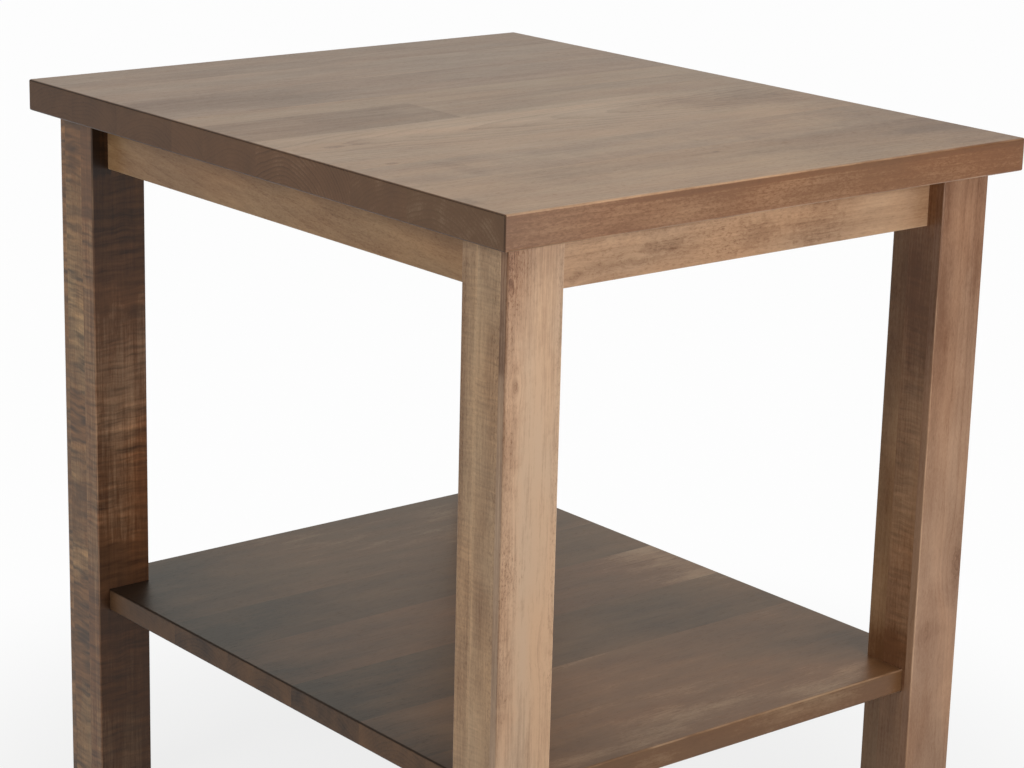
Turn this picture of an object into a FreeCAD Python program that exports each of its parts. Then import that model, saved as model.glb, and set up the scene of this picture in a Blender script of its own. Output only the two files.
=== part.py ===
# Maple end table with a low shelf, built up as a joiner builds it.
# The origin is on the floor under the middle of the top. +Z is up, X follows the grain
# of the top and shelf, and -Y is the front. All sizes are millimetres.
import FreeCAD, Part
import os

import Sketcher

# Driving dimensions: name, value, what it is
SIZES = (
    ("table_width", "508", "top along its grain, left to right"),
    ("table_depth", "616", "top across its grain, front to back"),
    ("table_height", "610", "floor to the upper face of the top"),
    ("top_thickness", "25.4", "top panel"),
    ("top_overhang", "18", "edge of the top beyond the legs' outer faces"),
    ("top_easing", "1.6", "rounding of every edge of the top"),
    ("top_board_1", "106", "front board of the top"),
    ("top_board_2", "65", "second board from the front"),
    ("top_board_3", "117", "third board"),
    ("top_board_4", "70", "fourth board"),
    ("top_board_5", "43", "fifth board"),
    ("top_board_6", "79", "sixth board"),
    ("top_board_7", "68", "seventh board"),
    ("top_board_8", "68", "back board of the top"),
    ("leg_size", "49.2", "side of the square leg"),
    ("leg_easing", "1.3", "rounding of the leg's long edges"),
    ("outer_stave", "7.4", "leg stave on the outer side"),
    ("core_stave", "24.6", "middle stave of the leg"),
    ("apron_height", "41.3", "apron from edge to edge"),
    ("apron_thickness", "19", "apron from face to face"),
    ("apron_inset", "15", "apron's face behind the leg's face"),
    ("apron_easing", "1", "rounding of the apron's lower edges"),
    ("tenon_thickness", "8", "tenon between its cheeks"),
    ("tenon_lower_shoulder", "6", "shoulder under the tenon"),
    ("tenon_upper_shoulder", "9", "shoulder above the tenon"),
    ("mitre_gap", "0.4", "room between two tenons that meet in a leg"),
    ("glue_gap", "0.1", "room for glue on every side of a fit"),
    ("shelf_height", "184.6", "floor to the upper face of the shelf"),
    ("shelf_thickness", "19.05", "shelf panel"),
    ("shelf_inset", "10.3", "edge of the shelf behind the legs' outer faces"),
    ("shelf_easing", "1.6", "rounding of the shelf's outer edges"),
    ("housing_depth", "6", "shelf let into the leg"),
    ("shelf_board_1", "83", "front board of the shelf"),
    ("shelf_board_2", "82", "second board from the front"),
    ("shelf_board_3", "88.4", "third board"),
    ("shelf_board_4", "88", "fourth board"),
    ("shelf_board_5", "78", "fifth board"),
    ("shelf_board_6", "70", "sixth board"),
    ("shelf_board_7", "70", "back board of the shelf"),
    ("block_reach", "92", "corner block along an apron, from the leg's outer face"),
    ("block_end", "14", "square end of the corner block"),
    ("block_height", "30", "corner block, edge to edge"),
    ("block_drop", "4", "corner block below the top"),
    ("block_leg_gap", "0.3", "corner block clear of the leg"),
    ("block_seat", "12", "wood left under the head of a corner block's screw"),
    ("block_screw_end", "14", "corner block's screw from the end of the block"),
    ("block_screw_length", "26", "corner block's screw under its head"),
    ("screw_radius", "2", "screw, shank"),
    ("screw_head_radius", "4.5", "screw, head"),
    ("screw_head_height", "3", "screw, head"),
    ("screw_head_room", "1", "counterbore round a screw's head"),
    ("screw_play", "0.05", "hole round a screw or nail"),
    ("hole_spare", "1.5", "hole beyond the end of a screw or nail"),
    ("button_width", "30", "wooden button along its apron"),
    ("button_reach", "30", "button's body in from its apron"),
    ("button_clearance", "1", "button's body clear of its apron and of the top"),
    ("button_distance", "88", "middle of the button from the leg's inner face"),
    ("tongue_length", "8", "button's tongue in the apron's slot"),
    ("tongue_thickness", "8", "button's tongue"),
    ("slot_drop", "10", "upper side of the slot below the top"),
    ("slot_play", "6", "slot beyond the tongue, at its ends"),
    ("slot_spare", "1.5", "slot beyond the tongue, in depth"),
    ("slot_gap", "0.3", "slot under the tongue"),
    ("button_screw_depth", "13", "button's screw in the top"),
    ("glide_height", "5", "floor glide under the leg"),
    ("glide_radius", "11", "floor glide"),
    ("glide_bevel", "1.5", "bevel round the glide's lower edge"),
    ("nail_radius", "1.2", "nail of the floor glide"),
    ("nail_length", "14", "nail of the floor glide"),
)

# Lengths worked out from the driving dimensions, as expressions
HALF_X = "(dim.table_width / 2 - dim.top_overhang)"
HALF_Y = "(dim.table_depth / 2 - dim.top_overhang)"
SPAN_X = "(dim.table_width - 2 * dim.top_overhang)"
SPAN_Y = "(dim.table_depth - 2 * dim.top_overhang)"
TOP_UNDERSIDE = "(dim.table_height - dim.top_thickness)"
LEG_LENGTH = f"({TOP_UNDERSIDE} - dim.glide_height)"
APRON_INNER = "(dim.apron_inset + dim.apron_thickness)"
TENON_OUTER = "(dim.apron_inset + (dim.apron_thickness - dim.tenon_thickness) / 2)"
TENON_INNER = f"({TENON_OUTER} + dim.tenon_thickness)"
TENON_HEIGHT = "(dim.apron_height - dim.tenon_lower_shoulder - dim.tenon_upper_shoulder)"
SHELF_UNDERSIDE = "(dim.shelf_height - dim.shelf_thickness)"
SHELF_X = f"({SPAN_X} - 2 * dim.shelf_inset)"
SHELF_Y = f"({SPAN_Y} - 2 * dim.shelf_inset)"
SHELF_NOTCH = "(dim.leg_size - dim.housing_depth - dim.shelf_inset + dim.glue_gap)"
BLOCK_SCREW_AT = "(dim.block_reach - dim.block_screw_end)"
BLOCK_SCREW_LEVEL = f"({TOP_UNDERSIDE} - dim.block_drop - dim.block_height / 2)"
BUTTON_AT = "(dim.leg_size + dim.button_distance)"
BUTTON_BACK = f"({APRON_INNER} + dim.button_clearance)"
BUTTON_SCREW_AT = f"({BUTTON_BACK} + dim.button_reach / 2)"
BUTTON_DROP = "(dim.slot_drop + dim.tongue_thickness)"
PILOT_RADIUS = "(dim.screw_radius + dim.screw_play)"

# Corners of the frame, each a quarter turn on from the one before
CORNERS = ("front_left", "front_right", "back_right", "back_left")
# Aprons: name, corner that each starts from, distance between the legs' outer faces
APRONS = (
    ("front_apron", CORNERS[0], SPAN_X),
    ("right_apron", CORNERS[1], SPAN_Y),
    ("back_apron", CORNERS[2], SPAN_X),
    ("left_apron", CORNERS[3], SPAN_Y),
)
# Boards in the top and in the shelf
TOP_BOARDS = 8
SHELF_BOARDS = 7
UP = FreeCAD.Vector(0, 0, 1)

doc = FreeCAD.newDocument("end_table")
dim = doc.addObject("Spreadsheet::Sheet", "dim")
subparts = []


def fill_sheet():
    """Writes the driving dimensions, each under its alias."""
    for row, (alias, number, meaning) in enumerate(SIZES, start=1):
        dim.set(f"A{row}", number)
        dim.setAlias(f"A{row}", alias)
        dim.set(f"B{row}", meaning)
    doc.recompute()


def bind(item, expressions):
    """Binds properties of a document object to expressions on the sheet."""
    for path, text in expressions.items():
        item.setExpression(path, text)


def keep(item, label):
    """Names a document object as one of the table's sub-parts."""
    item.Label = label
    subparts.append(item)
    return item


def corner_x(corner):
    """Outer faces of a corner's leg, left or right of the middle."""
    return f"-{HALF_X}" if corner.endswith("left") else HALF_X


def corner_y(corner):
    """Outer faces of a corner's leg, in front of the middle or behind it."""
    return f"-{HALF_Y}" if corner.startswith("front") else HALF_Y


def place_in_corner(item, corner, level, shift=("0", "0"), rotation=FreeCAD.Rotation()):
    """Places a piece at a shift, along and in from the frame's corner, at a level."""
    along, inwards = shift
    turn = FreeCAD.Rotation(UP, 90 * CORNERS.index(corner))
    item.Placement = FreeCAD.Placement(FreeCAD.Vector(), turn.multiply(rotation))
    axis_along = turn.multVec(FreeCAD.Vector(1, 0, 0))
    axis_inwards = turn.multVec(FreeCAD.Vector(0, 1, 0))
    bind(item, {
        "Placement.Base.x": f"{corner_x(corner)} + {round(axis_along.x)} * ({along})"
                            f" + {round(axis_inwards.x)} * ({inwards})",
        "Placement.Base.y": f"{corner_y(corner)} + {round(axis_along.y)} * ({along})"
                            f" + {round(axis_inwards.y)} * ({inwards})",
        "Placement.Base.z": level,
    })


def new_body(name):
    return doc.addObject("PartDesign::Body", name)


def new_sketch(body, name, plane="XY_Plane", offset="0"):
    """Sketch on one of the body's own origin planes, shifted along the plane's normal."""
    sketch = body.newObject("Sketcher::SketchObject", f"{body.Name}_{name}")
    support = [item for item in body.Origin.OriginFeatures if item.Role == plane]
    sketch.AttachmentSupport = [(support[0], "")]
    sketch.MapMode = "FlatFace"
    sketch.setExpression("AttachmentOffset.Base.z", offset)
    return sketch


def number_of(sketch, text):
    return float(sketch.evalExpression(text))


def pin_point(sketch, geometry, vertex, across, along):
    """Holds a point of the sketch at two expressions from the sketch's origin."""
    for kind, text in (("DistanceX", across), ("DistanceY", along)):
        value = number_of(sketch, text)
        limit = Sketcher.Constraint(kind, -1, 1, geometry, vertex, value)
        index = sketch.addConstraint(limit)
        sketch.setExpression(f"Constraints[{index}]", text)


def outline(sketch, corners):
    """Closed outline through corners given as pairs of expressions."""
    points = [
        FreeCAD.Vector(number_of(sketch, across), number_of(sketch, along), 0)
        for across, along in corners
    ]
    count = len(points)
    for index, point in enumerate(points):
        sketch.addGeometry(Part.LineSegment(point, points[(index + 1) % count]))
    for index in range(count):
        meet = Sketcher.Constraint("Coincident", index, 2, (index + 1) % count, 1)
        sketch.addConstraint(meet)
    for index, (across, along) in enumerate(corners):
        pin_point(sketch, index, 1, across, along)
    return sketch


def rectangle(sketch, left, low, right, high):
    return outline(sketch, ((left, low), (right, low), (right, high), (left, high)))


def octagon(sketch, centre, radius):
    """Eight-sided outline about a centre, for screws, nails and their holes."""
    across, along = centre
    return outline(sketch, [
        (f"{across} + ({radius}) * cos({turn} deg)", f"{along} + ({radius}) * sin({turn} deg)")
        for turn in range(0, 360, 45)
    ])


def pad(body, sketch, length):
    """Adds the sketch's outline, along the sketch's normal."""
    feature = body.newObject("PartDesign::Pad", f"{sketch.Name}_pad")
    feature.Profile = sketch
    feature.setExpression("Length", length)
    return feature


def pocket(body, sketch, depth, forwards=False):
    """Cuts the sketch's outline, against the sketch's normal or forwards along it."""
    feature = body.newObject("PartDesign::Pocket", f"{sketch.Name}_pocket")
    feature.Profile = sketch
    feature.Reversed = forwards
    feature.setExpression("Length", depth)
    return feature


def turned(name, profile):
    """Body turned about Z from corners given as radius and height."""
    body = new_body(name)
    sketch = outline(new_sketch(body, "profile", "XZ_Plane"), profile)
    feature = body.newObject("PartDesign::Revolution", f"{name}_turn")
    feature.Profile = sketch
    feature.ReferenceAxis = (sketch, ["V_Axis"])
    feature.Angle = 360
    return body


def ease_edges(body, radius, wanted):
    """Rounds those edges of the body that the test picks by their box."""
    doc.recompute()
    base = body.Tip
    names = [
        f"Edge{index}"
        for index, edge in enumerate(base.Shape.Edges, start=1)
        if wanted(edge.BoundBox)
    ]
    feature = body.newObject("PartDesign::Fillet", f"{body.Name}_easing")
    feature.Base = (base, names)
    feature.setExpression("Radius", radius)
    doc.recompute()


def slice_panel(panel, label, low_corner, lengths):
    """Sub-part that one slab of a glued-up panel or blank makes."""
    slab = doc.addObject("Part::Box", f"{label}_slab")
    bind(slab, dict(zip(("Length", "Width", "Height"), lengths)))
    places = ("Placement.Base.x", "Placement.Base.y", "Placement.Base.z")
    bind(slab, dict(zip(places, low_corner)))
    piece = doc.addObject("Part::Common", label)
    piece.Base = panel
    piece.Tool = slab
    return keep(piece, label)


def joint_lines(board, count, whole):
    """Edges and glue lines across a panel. Its boards have widths of their own, and if
    these don't make up the whole, each board gains or gives up an equal strip."""
    widths = [f"dim.{board}_{index}" for index in range(1, count + 1)]
    strip = f"({whole} - ({' + '.join(widths)})) / {count}"
    return [
        " + ".join([f"{index} * {strip}", *widths[:index]])
        for index in range(count + 1)
    ]


def group(label, pattern, places):
    """Sub-part of separate, equal solids: copies of one pattern at their placements."""
    copies = []
    for index, (corner, level, shift, rotation) in enumerate(places, start=1):
        copy = doc.addObject("App::Link", f"{label}_{index}")
        copy.LinkedObject = pattern
        place_in_corner(copy, corner, level, shift, rotation)
        copies.append(copy)
    compound = doc.addObject("Part::Compound", label)
    compound.Links = copies
    return keep(compound, label)


def button_places():
    """Label, corner of the frame and distance along the apron of every button."""
    return [
        (f"{name}_button_{index}", corner, along)
        for name, corner, span in APRONS
        for index, along in enumerate((BUTTON_AT, f"({span} - {BUTTON_AT})"), start=1)
    ]


def make_top():
    """Top: edge-glued boards, eased all round, with pilot holes for its screws."""
    panel = new_body("top_panel")
    sketch = rectangle(
        new_sketch(panel, "outline"), "0", "0", "dim.table_width", "dim.table_depth")
    pad(panel, sketch, "dim.top_thickness")
    ease_edges(panel, "dim.top_easing", lambda box: True)

    inwards = f"(dim.top_overhang + {BUTTON_SCREW_AT})"
    along = f"(dim.top_overhang + {BUTTON_AT})"
    for x, y in ((along, inwards), (inwards, along)):
        for across in (x, f"dim.table_width - {x}"):
            for back in (y, f"dim.table_depth - {y}"):
                pilot = octagon(new_sketch(panel, "pilot"), (across, back), PILOT_RADIUS)
                depth = "dim.button_screw_depth + dim.hole_spare"
                pocket(panel, pilot, depth, forwards=True)
    bind(panel, {
        "Placement.Base.x": "-dim.table_width / 2",
        "Placement.Base.y": "-dim.table_depth / 2",
        "Placement.Base.z": TOP_UNDERSIDE,
    })
    lines = joint_lines("top_board", TOP_BOARDS, "dim.table_depth")
    for index, (low, high) in enumerate(zip(lines, lines[1:]), start=1):
        slice_panel(
            panel, f"top_board_{index}",
            ("-dim.table_width / 2", f"-dim.table_depth / 2 + {low}", TOP_UNDERSIDE),
            ("dim.table_width", f"{high} - ({low})", "dim.top_thickness"))


def make_shelf():
    """Shelf: edge-glued boards with square notches where it is let into the legs."""
    panel = new_body("shelf_panel")
    near = SHELF_NOTCH
    far_x = f"{SHELF_X} - {SHELF_NOTCH}"
    far_y = f"{SHELF_Y} - {SHELF_NOTCH}"
    sketch = outline(new_sketch(panel, "outline"), (
        (near, "0"), (far_x, "0"), (far_x, near), (SHELF_X, near),
        (SHELF_X, far_y), (far_x, far_y), (far_x, SHELF_Y), (near, SHELF_Y),
        (near, far_y), ("0", far_y), ("0", near), (near, near),
    ))
    pad(panel, sketch, "dim.shelf_thickness")
    longest_notch_edge = max(number_of(sketch, SHELF_NOTCH), dim.shelf_thickness)
    ease_edges(
        panel, "dim.shelf_easing",
        lambda box: max(box.XLength, box.YLength) > longest_notch_edge + dim.shelf_easing)
    bind(panel, {
        "Placement.Base.x": f"-{SHELF_X} / 2",
        "Placement.Base.y": f"-{SHELF_Y} / 2",
        "Placement.Base.z": SHELF_UNDERSIDE,
    })
    lines = joint_lines("shelf_board", SHELF_BOARDS, SHELF_Y)
    for index, (low, high) in enumerate(zip(lines, lines[1:]), start=1):
        slice_panel(
            panel, f"shelf_board_{index}",
            (f"-{SHELF_X} / 2", f"-{SHELF_Y} / 2 + {low}", SHELF_UNDERSIDE),
            (SHELF_X, f"{high} - ({low})", "dim.shelf_thickness"))


def make_leg(corner):
    """Leg: three laminated staves, mortised for two aprons and housed for the shelf."""
    leg = new_body(f"{corner}_leg")
    size = "dim.leg_size"
    pad(leg, rectangle(new_sketch(leg, "section"), "0", "0", size, size), LEG_LENGTH)
    ease_edges(leg, "dim.leg_easing", lambda box: box.ZLength > dim.leg_size)

    low = f"{TENON_OUTER} - dim.glue_gap"
    high = f"{TENON_INNER} + dim.glue_gap"
    mortise_top = f"{LEG_LENGTH} - dim.tenon_upper_shoulder + dim.glue_gap"
    mortises = outline(new_sketch(leg, "mortises", offset=mortise_top), (
        (low, low), (size, low), (size, high), (high, high), (high, size), (low, size)))
    pocket(leg, mortises, f"{TENON_HEIGHT} + 2 * dim.glue_gap")

    stop = "dim.shelf_inset - dim.glue_gap"
    floor = "dim.leg_size - dim.housing_depth"
    housing_top = "dim.shelf_height - dim.glide_height + dim.glue_gap"
    housing = outline(new_sketch(leg, "housing", offset=housing_top), (
        (floor, stop), (size, stop), (size, size), (stop, size), (stop, floor),
        (floor, floor)))
    pocket(leg, housing, "dim.shelf_thickness + 2 * dim.glue_gap")

    middle = "dim.leg_size / 2"
    nail_hole = octagon(
        new_sketch(leg, "nail_hole"), (middle, middle), "dim.nail_radius + dim.screw_play")
    pocket(leg, nail_hole, "dim.nail_length + dim.hole_spare", forwards=True)
    place_in_corner(leg, corner, "dim.glide_height")

    left = corner_x(corner) if corner.endswith("left") else f"{corner_x(corner)} - {size}"
    lines = ("0", "dim.outer_stave", "dim.outer_stave + dim.core_stave", size)
    staves = ("outer", "core", "inner")
    for stave, low, high in zip(staves, lines, lines[1:]):
        reach = f"+ {low}" if corner.startswith("front") else f"- ({high})"
        front = f"{corner_y(corner)} {reach}"
        slice_panel(
            leg, f"{corner}_leg_{stave}_stave",
            (left, front, "dim.glide_height"), (size, f"{high} - ({low})", LEG_LENGTH))


def make_apron(label, corner, span):
    """Apron: a rail with a mitred tenon at each end, slotted for two buttons."""
    rail = new_body(label)
    far_end = f"{span} - dim.leg_size"
    section = rectangle(
        new_sketch(rail, "plan"), "dim.leg_size", "dim.apron_inset", far_end, APRON_INNER)
    pad(rail, section, "dim.apron_height")
    ease_edges(
        rail, "dim.apron_easing",
        lambda box: box.ZMax < dim.apron_easing and box.XLength > dim.apron_height)

    tenons = outline(new_sketch(rail, "tenons", offset="dim.tenon_lower_shoulder"), (
        (f"{TENON_OUTER} + dim.mitre_gap", TENON_OUTER),
        (f"{span} - {TENON_OUTER} - dim.mitre_gap", TENON_OUTER),
        (f"{span} - {TENON_INNER} - dim.mitre_gap", TENON_INNER),
        (f"{TENON_INNER} + dim.mitre_gap", TENON_INNER)))
    pad(rail, tenons, TENON_HEIGHT)

    slot_top = "dim.apron_height - dim.slot_drop"
    half_slot = "(dim.button_width / 2 + dim.slot_play)"
    slot_floor = f"{APRON_INNER} - dim.tongue_length - dim.slot_spare"
    for middle in (BUTTON_AT, f"({span} - {BUTTON_AT})"):
        slot = rectangle(
            new_sketch(rail, "slot", offset=slot_top), f"{middle} - {half_slot}", slot_floor,
            f"{middle} + {half_slot}", APRON_INNER)
        pocket(rail, slot, "dim.tongue_thickness + dim.slot_gap")

    level = "dim.apron_height - dim.block_drop - dim.block_height / 2"
    for along in (BLOCK_SCREW_AT, f"({span} - {BLOCK_SCREW_AT})"):
        pilot = octagon(
            new_sketch(rail, "block_pilot", "XZ_Plane", f"-{APRON_INNER}"), (along, level),
            PILOT_RADIUS)
        depth = "dim.block_screw_length - dim.block_seat + dim.hole_spare"
        pocket(rail, pilot, depth, forwards=True)
    place_in_corner(rail, corner, f"{TOP_UNDERSIDE} - dim.apron_height")
    keep(rail, label)


def make_corner_block(corner):
    """Corner block: notched round the leg and screwed to both aprons."""
    block = new_body(f"{corner}_corner_block")
    clear = "dim.leg_size + dim.block_leg_gap"
    reach = "dim.block_reach"
    end = f"{APRON_INNER} + dim.block_end"
    sketch = outline(new_sketch(block, "plan"), (
        (clear, APRON_INNER), (reach, APRON_INNER), (reach, end), (end, reach),
        (APRON_INNER, reach), (APRON_INNER, clear), (clear, clear)))
    pad(block, sketch, "dim.block_height")

    middle = "dim.block_height / 2"
    seat = f"({APRON_INNER} + dim.block_seat)"
    sides = (("XZ_Plane", -1, False), ("YZ_Plane", 1, True))
    cuts = (
        ("shank", APRON_INNER, PILOT_RADIUS),
        ("head", seat, "dim.screw_head_radius + dim.screw_head_room"),
    )
    for plane, sign, forwards in sides:
        for cut, start, radius in cuts:
            hole = octagon(
                new_sketch(block, f"{cut}_{plane}", plane, f"{sign} * {start}"),
                (BLOCK_SCREW_AT, middle), radius)
            pocket(block, hole, reach, forwards)
    place_in_corner(block, corner, f"{TOP_UNDERSIDE} - dim.block_drop - dim.block_height")
    keep(block, block.Name)


def new_screw(name, length):
    """Screw standing on its point: an eight-sided shank under a flat head."""
    screw = new_body(name)
    shank = octagon(new_sketch(screw, "shank", offset=f"-({length})"), ("0", "0"),
                    "dim.screw_radius")
    pad(screw, shank, length)
    head = octagon(new_sketch(screw, "head"), ("0", "0"), "dim.screw_head_radius")
    pad(screw, head, "dim.screw_head_height")
    return screw


def make_block_screws():
    """Screws through the corner blocks, two to a block."""
    screw = new_screw("block_screw", "dim.block_screw_length")
    seat = f"{APRON_INNER} + dim.block_seat"
    into_first = FreeCAD.Rotation(FreeCAD.Vector(1, 0, 0), -90)
    into_second = FreeCAD.Rotation(FreeCAD.Vector(0, 1, 0), 90)
    places = []
    for corner in CORNERS:
        places.append((corner, BLOCK_SCREW_LEVEL, (BLOCK_SCREW_AT, seat), into_first))
        places.append((corner, BLOCK_SCREW_LEVEL, (seat, BLOCK_SCREW_AT), into_second))
    group("corner_block_screws", screw, places)


def make_button(label, corner, along):
    """Wooden button: its tongue hooks under the apron's slot and its body is screwed up
    to the top, so that the top is held down but can swell."""
    button = new_body(label)
    half = "dim.button_width / 2"
    tip = "-dim.tongue_length - dim.button_clearance"
    tongue = rectangle(new_sketch(button, "tongue"), f"-{half}", tip, half, "0")
    pad(button, tongue, "dim.tongue_thickness")
    plan = rectangle(new_sketch(button, "plan"), f"-{half}", "0", half, "dim.button_reach")
    pad(button, plan, f"{BUTTON_DROP} - dim.button_clearance")
    hole = octagon(new_sketch(button, "hole"), ("0", "dim.button_reach / 2"), PILOT_RADIUS)
    pocket(button, hole, BUTTON_DROP, forwards=True)
    level = f"{TOP_UNDERSIDE} - {BUTTON_DROP}"
    place_in_corner(button, corner, level, (along, BUTTON_BACK))
    keep(button, label)


def make_button_screws():
    """Screws up through the buttons into the top."""
    screw = new_screw("button_screw", f"{BUTTON_DROP} + dim.button_screw_depth")
    upwards = FreeCAD.Rotation(FreeCAD.Vector(1, 0, 0), 180)
    level = f"{TOP_UNDERSIDE} - {BUTTON_DROP}"
    group("button_screws", screw, [
        (corner, level, (along, BUTTON_SCREW_AT), upwards)
        for label, corner, along in button_places()
    ])


def make_glide(corner):
    """Floor glide: a turned foot with a nail that is driven into the leg."""
    label = f"{corner}_glide"
    glide = turned(label, (
        ("0", "0"),
        ("dim.glide_radius - dim.glide_bevel", "0"),
        ("dim.glide_radius", "dim.glide_bevel"),
        ("dim.glide_radius", "dim.glide_height"),
        ("0", "dim.glide_height"),
    ))
    nail = octagon(
        new_sketch(glide, "nail", offset="dim.glide_height"), ("0", "0"), "dim.nail_radius")
    pad(glide, nail, "dim.nail_length")
    middle = "dim.leg_size / 2"
    place_in_corner(glide, corner, "0", (middle, middle))
    keep(glide, label)


def check_document():
    """Stops if a feature failed, a cut took nothing away or a sub-part is unsound."""
    for item in doc.Objects:
        if {"Invalid", "Error"} & set(item.State):
            raise RuntimeError(f"{item.Name} failed: {item.State}")
        if item.TypeId == "PartDesign::Pocket":
            if item.Shape.Volume >= item.BaseFeature.Shape.Volume:
                raise RuntimeError(f"{item.Name} cuts nothing")
    for piece in subparts:
        if piece.Shape.isNull() or not piece.Shape.isValid() or not piece.Shape.Solids:
            raise RuntimeError(f"{piece.Label} is not a sound solid")


fill_sheet()
make_top()
make_shelf()
for frame_corner in CORNERS:
    make_leg(frame_corner)
    make_corner_block(frame_corner)
    make_glide(frame_corner)
for apron_label, first_corner, leg_span in APRONS:
    make_apron(apron_label, first_corner, leg_span)
for button_label, first_corner, distance in button_places():
    make_button(button_label, first_corner, distance)
make_block_screws()
make_button_screws()
doc.recompute()
check_document()
os.makedirs("parts", exist_ok=True)
for subpart in subparts:
    subpart.Shape.exportStep(f"parts/{subpart.Label}.step")
    print(subpart.Label, len(subpart.Shape.Solids), round(subpart.Shape.Volume))
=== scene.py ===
import math

import bpy
from bpy.props import FloatProperty, FloatVectorProperty, PointerProperty
from mathutils import Euler, Matrix, Vector


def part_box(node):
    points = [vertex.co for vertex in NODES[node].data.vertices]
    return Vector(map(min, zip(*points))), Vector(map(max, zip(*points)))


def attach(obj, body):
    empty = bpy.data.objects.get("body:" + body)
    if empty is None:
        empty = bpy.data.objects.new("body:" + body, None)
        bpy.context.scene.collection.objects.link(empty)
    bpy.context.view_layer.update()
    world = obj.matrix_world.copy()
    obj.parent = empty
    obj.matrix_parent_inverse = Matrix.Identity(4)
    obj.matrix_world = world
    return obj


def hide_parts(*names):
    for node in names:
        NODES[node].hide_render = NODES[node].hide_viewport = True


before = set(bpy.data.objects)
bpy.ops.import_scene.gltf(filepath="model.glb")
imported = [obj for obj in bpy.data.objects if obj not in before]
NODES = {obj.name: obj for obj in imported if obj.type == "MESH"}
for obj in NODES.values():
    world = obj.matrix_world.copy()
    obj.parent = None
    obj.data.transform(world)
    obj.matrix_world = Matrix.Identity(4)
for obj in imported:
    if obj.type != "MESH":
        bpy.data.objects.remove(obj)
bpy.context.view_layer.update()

bl_info = {
    "name": "Maple End Table",
    "version": (1, 0, 0),
    "blender": (4, 5, 0),
    "location": "3D View > Sidebar > End Table",
    "description": "Stains and lacquers the maple end table, fits its screws and sets its stage",
    "category": "Object",
}

MM = 0.001


def srgb(red, green, blue):
    """Linear colour, with alpha, of an sRGB colour given in steps of 0 to 255."""
    steps = [step / 255 for step in (red, green, blue)]
    linear = [s / 12.92 if s <= 0.04045 else ((s + 0.055) / 1.055) ** 2.4 for s in steps]
    return (*linear, 1.0)


# A board's place in the log and how it took the stain. pith is the heart of the tree from the
# board's middle in millimetres, across its two cross directions, tilt how far the grain runs
# off its length in degrees, and start where along the log it was cut, in metres.
# tone is the depth of the stain, 0 light, 1 dark and more towards deep, tint multiplies its
# colour, end is what end grain adds, and end_tint its tint. pitch, a year's growth, and
# curl_pitch are in millimetres. rings, fibre, curl, blotch and fleck are strengths.
# A patch is centre, reach and softness in millimetres, raggedness as a share of the softness
# and how much darker it makes the wood: mostly more stain, but some are painted shade and a few
# painted light, as marked. specks are patches of dark points, curls are patches of stronger
# curl, washes end in a tint of their own. A knot is centre, size and how dark it is.
# What a board doesn't say comes from the ALL_ table of its group, and then from PLAIN_BOARD.
PLAIN_BOARD = {
    "grain": "X", "pith": (0, -70), "tilt": (0.0, 0.0), "start": 0.0,
    "tone": 0.5, "tint": (1.0, 1.0, 1.0), "pitch": 3.2, "rings": 0.12, "fibre": 0.15,
    "curl": 0.0, "curl_pitch": 6.4, "blotch": 0.20, "fleck": 0.10,
    "end": 0.62, "end_tint": (0.92, 0.98, 0.99),
    "patches": (), "specks": (), "curls": (), "washes": (), "knots": (),
}
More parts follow.
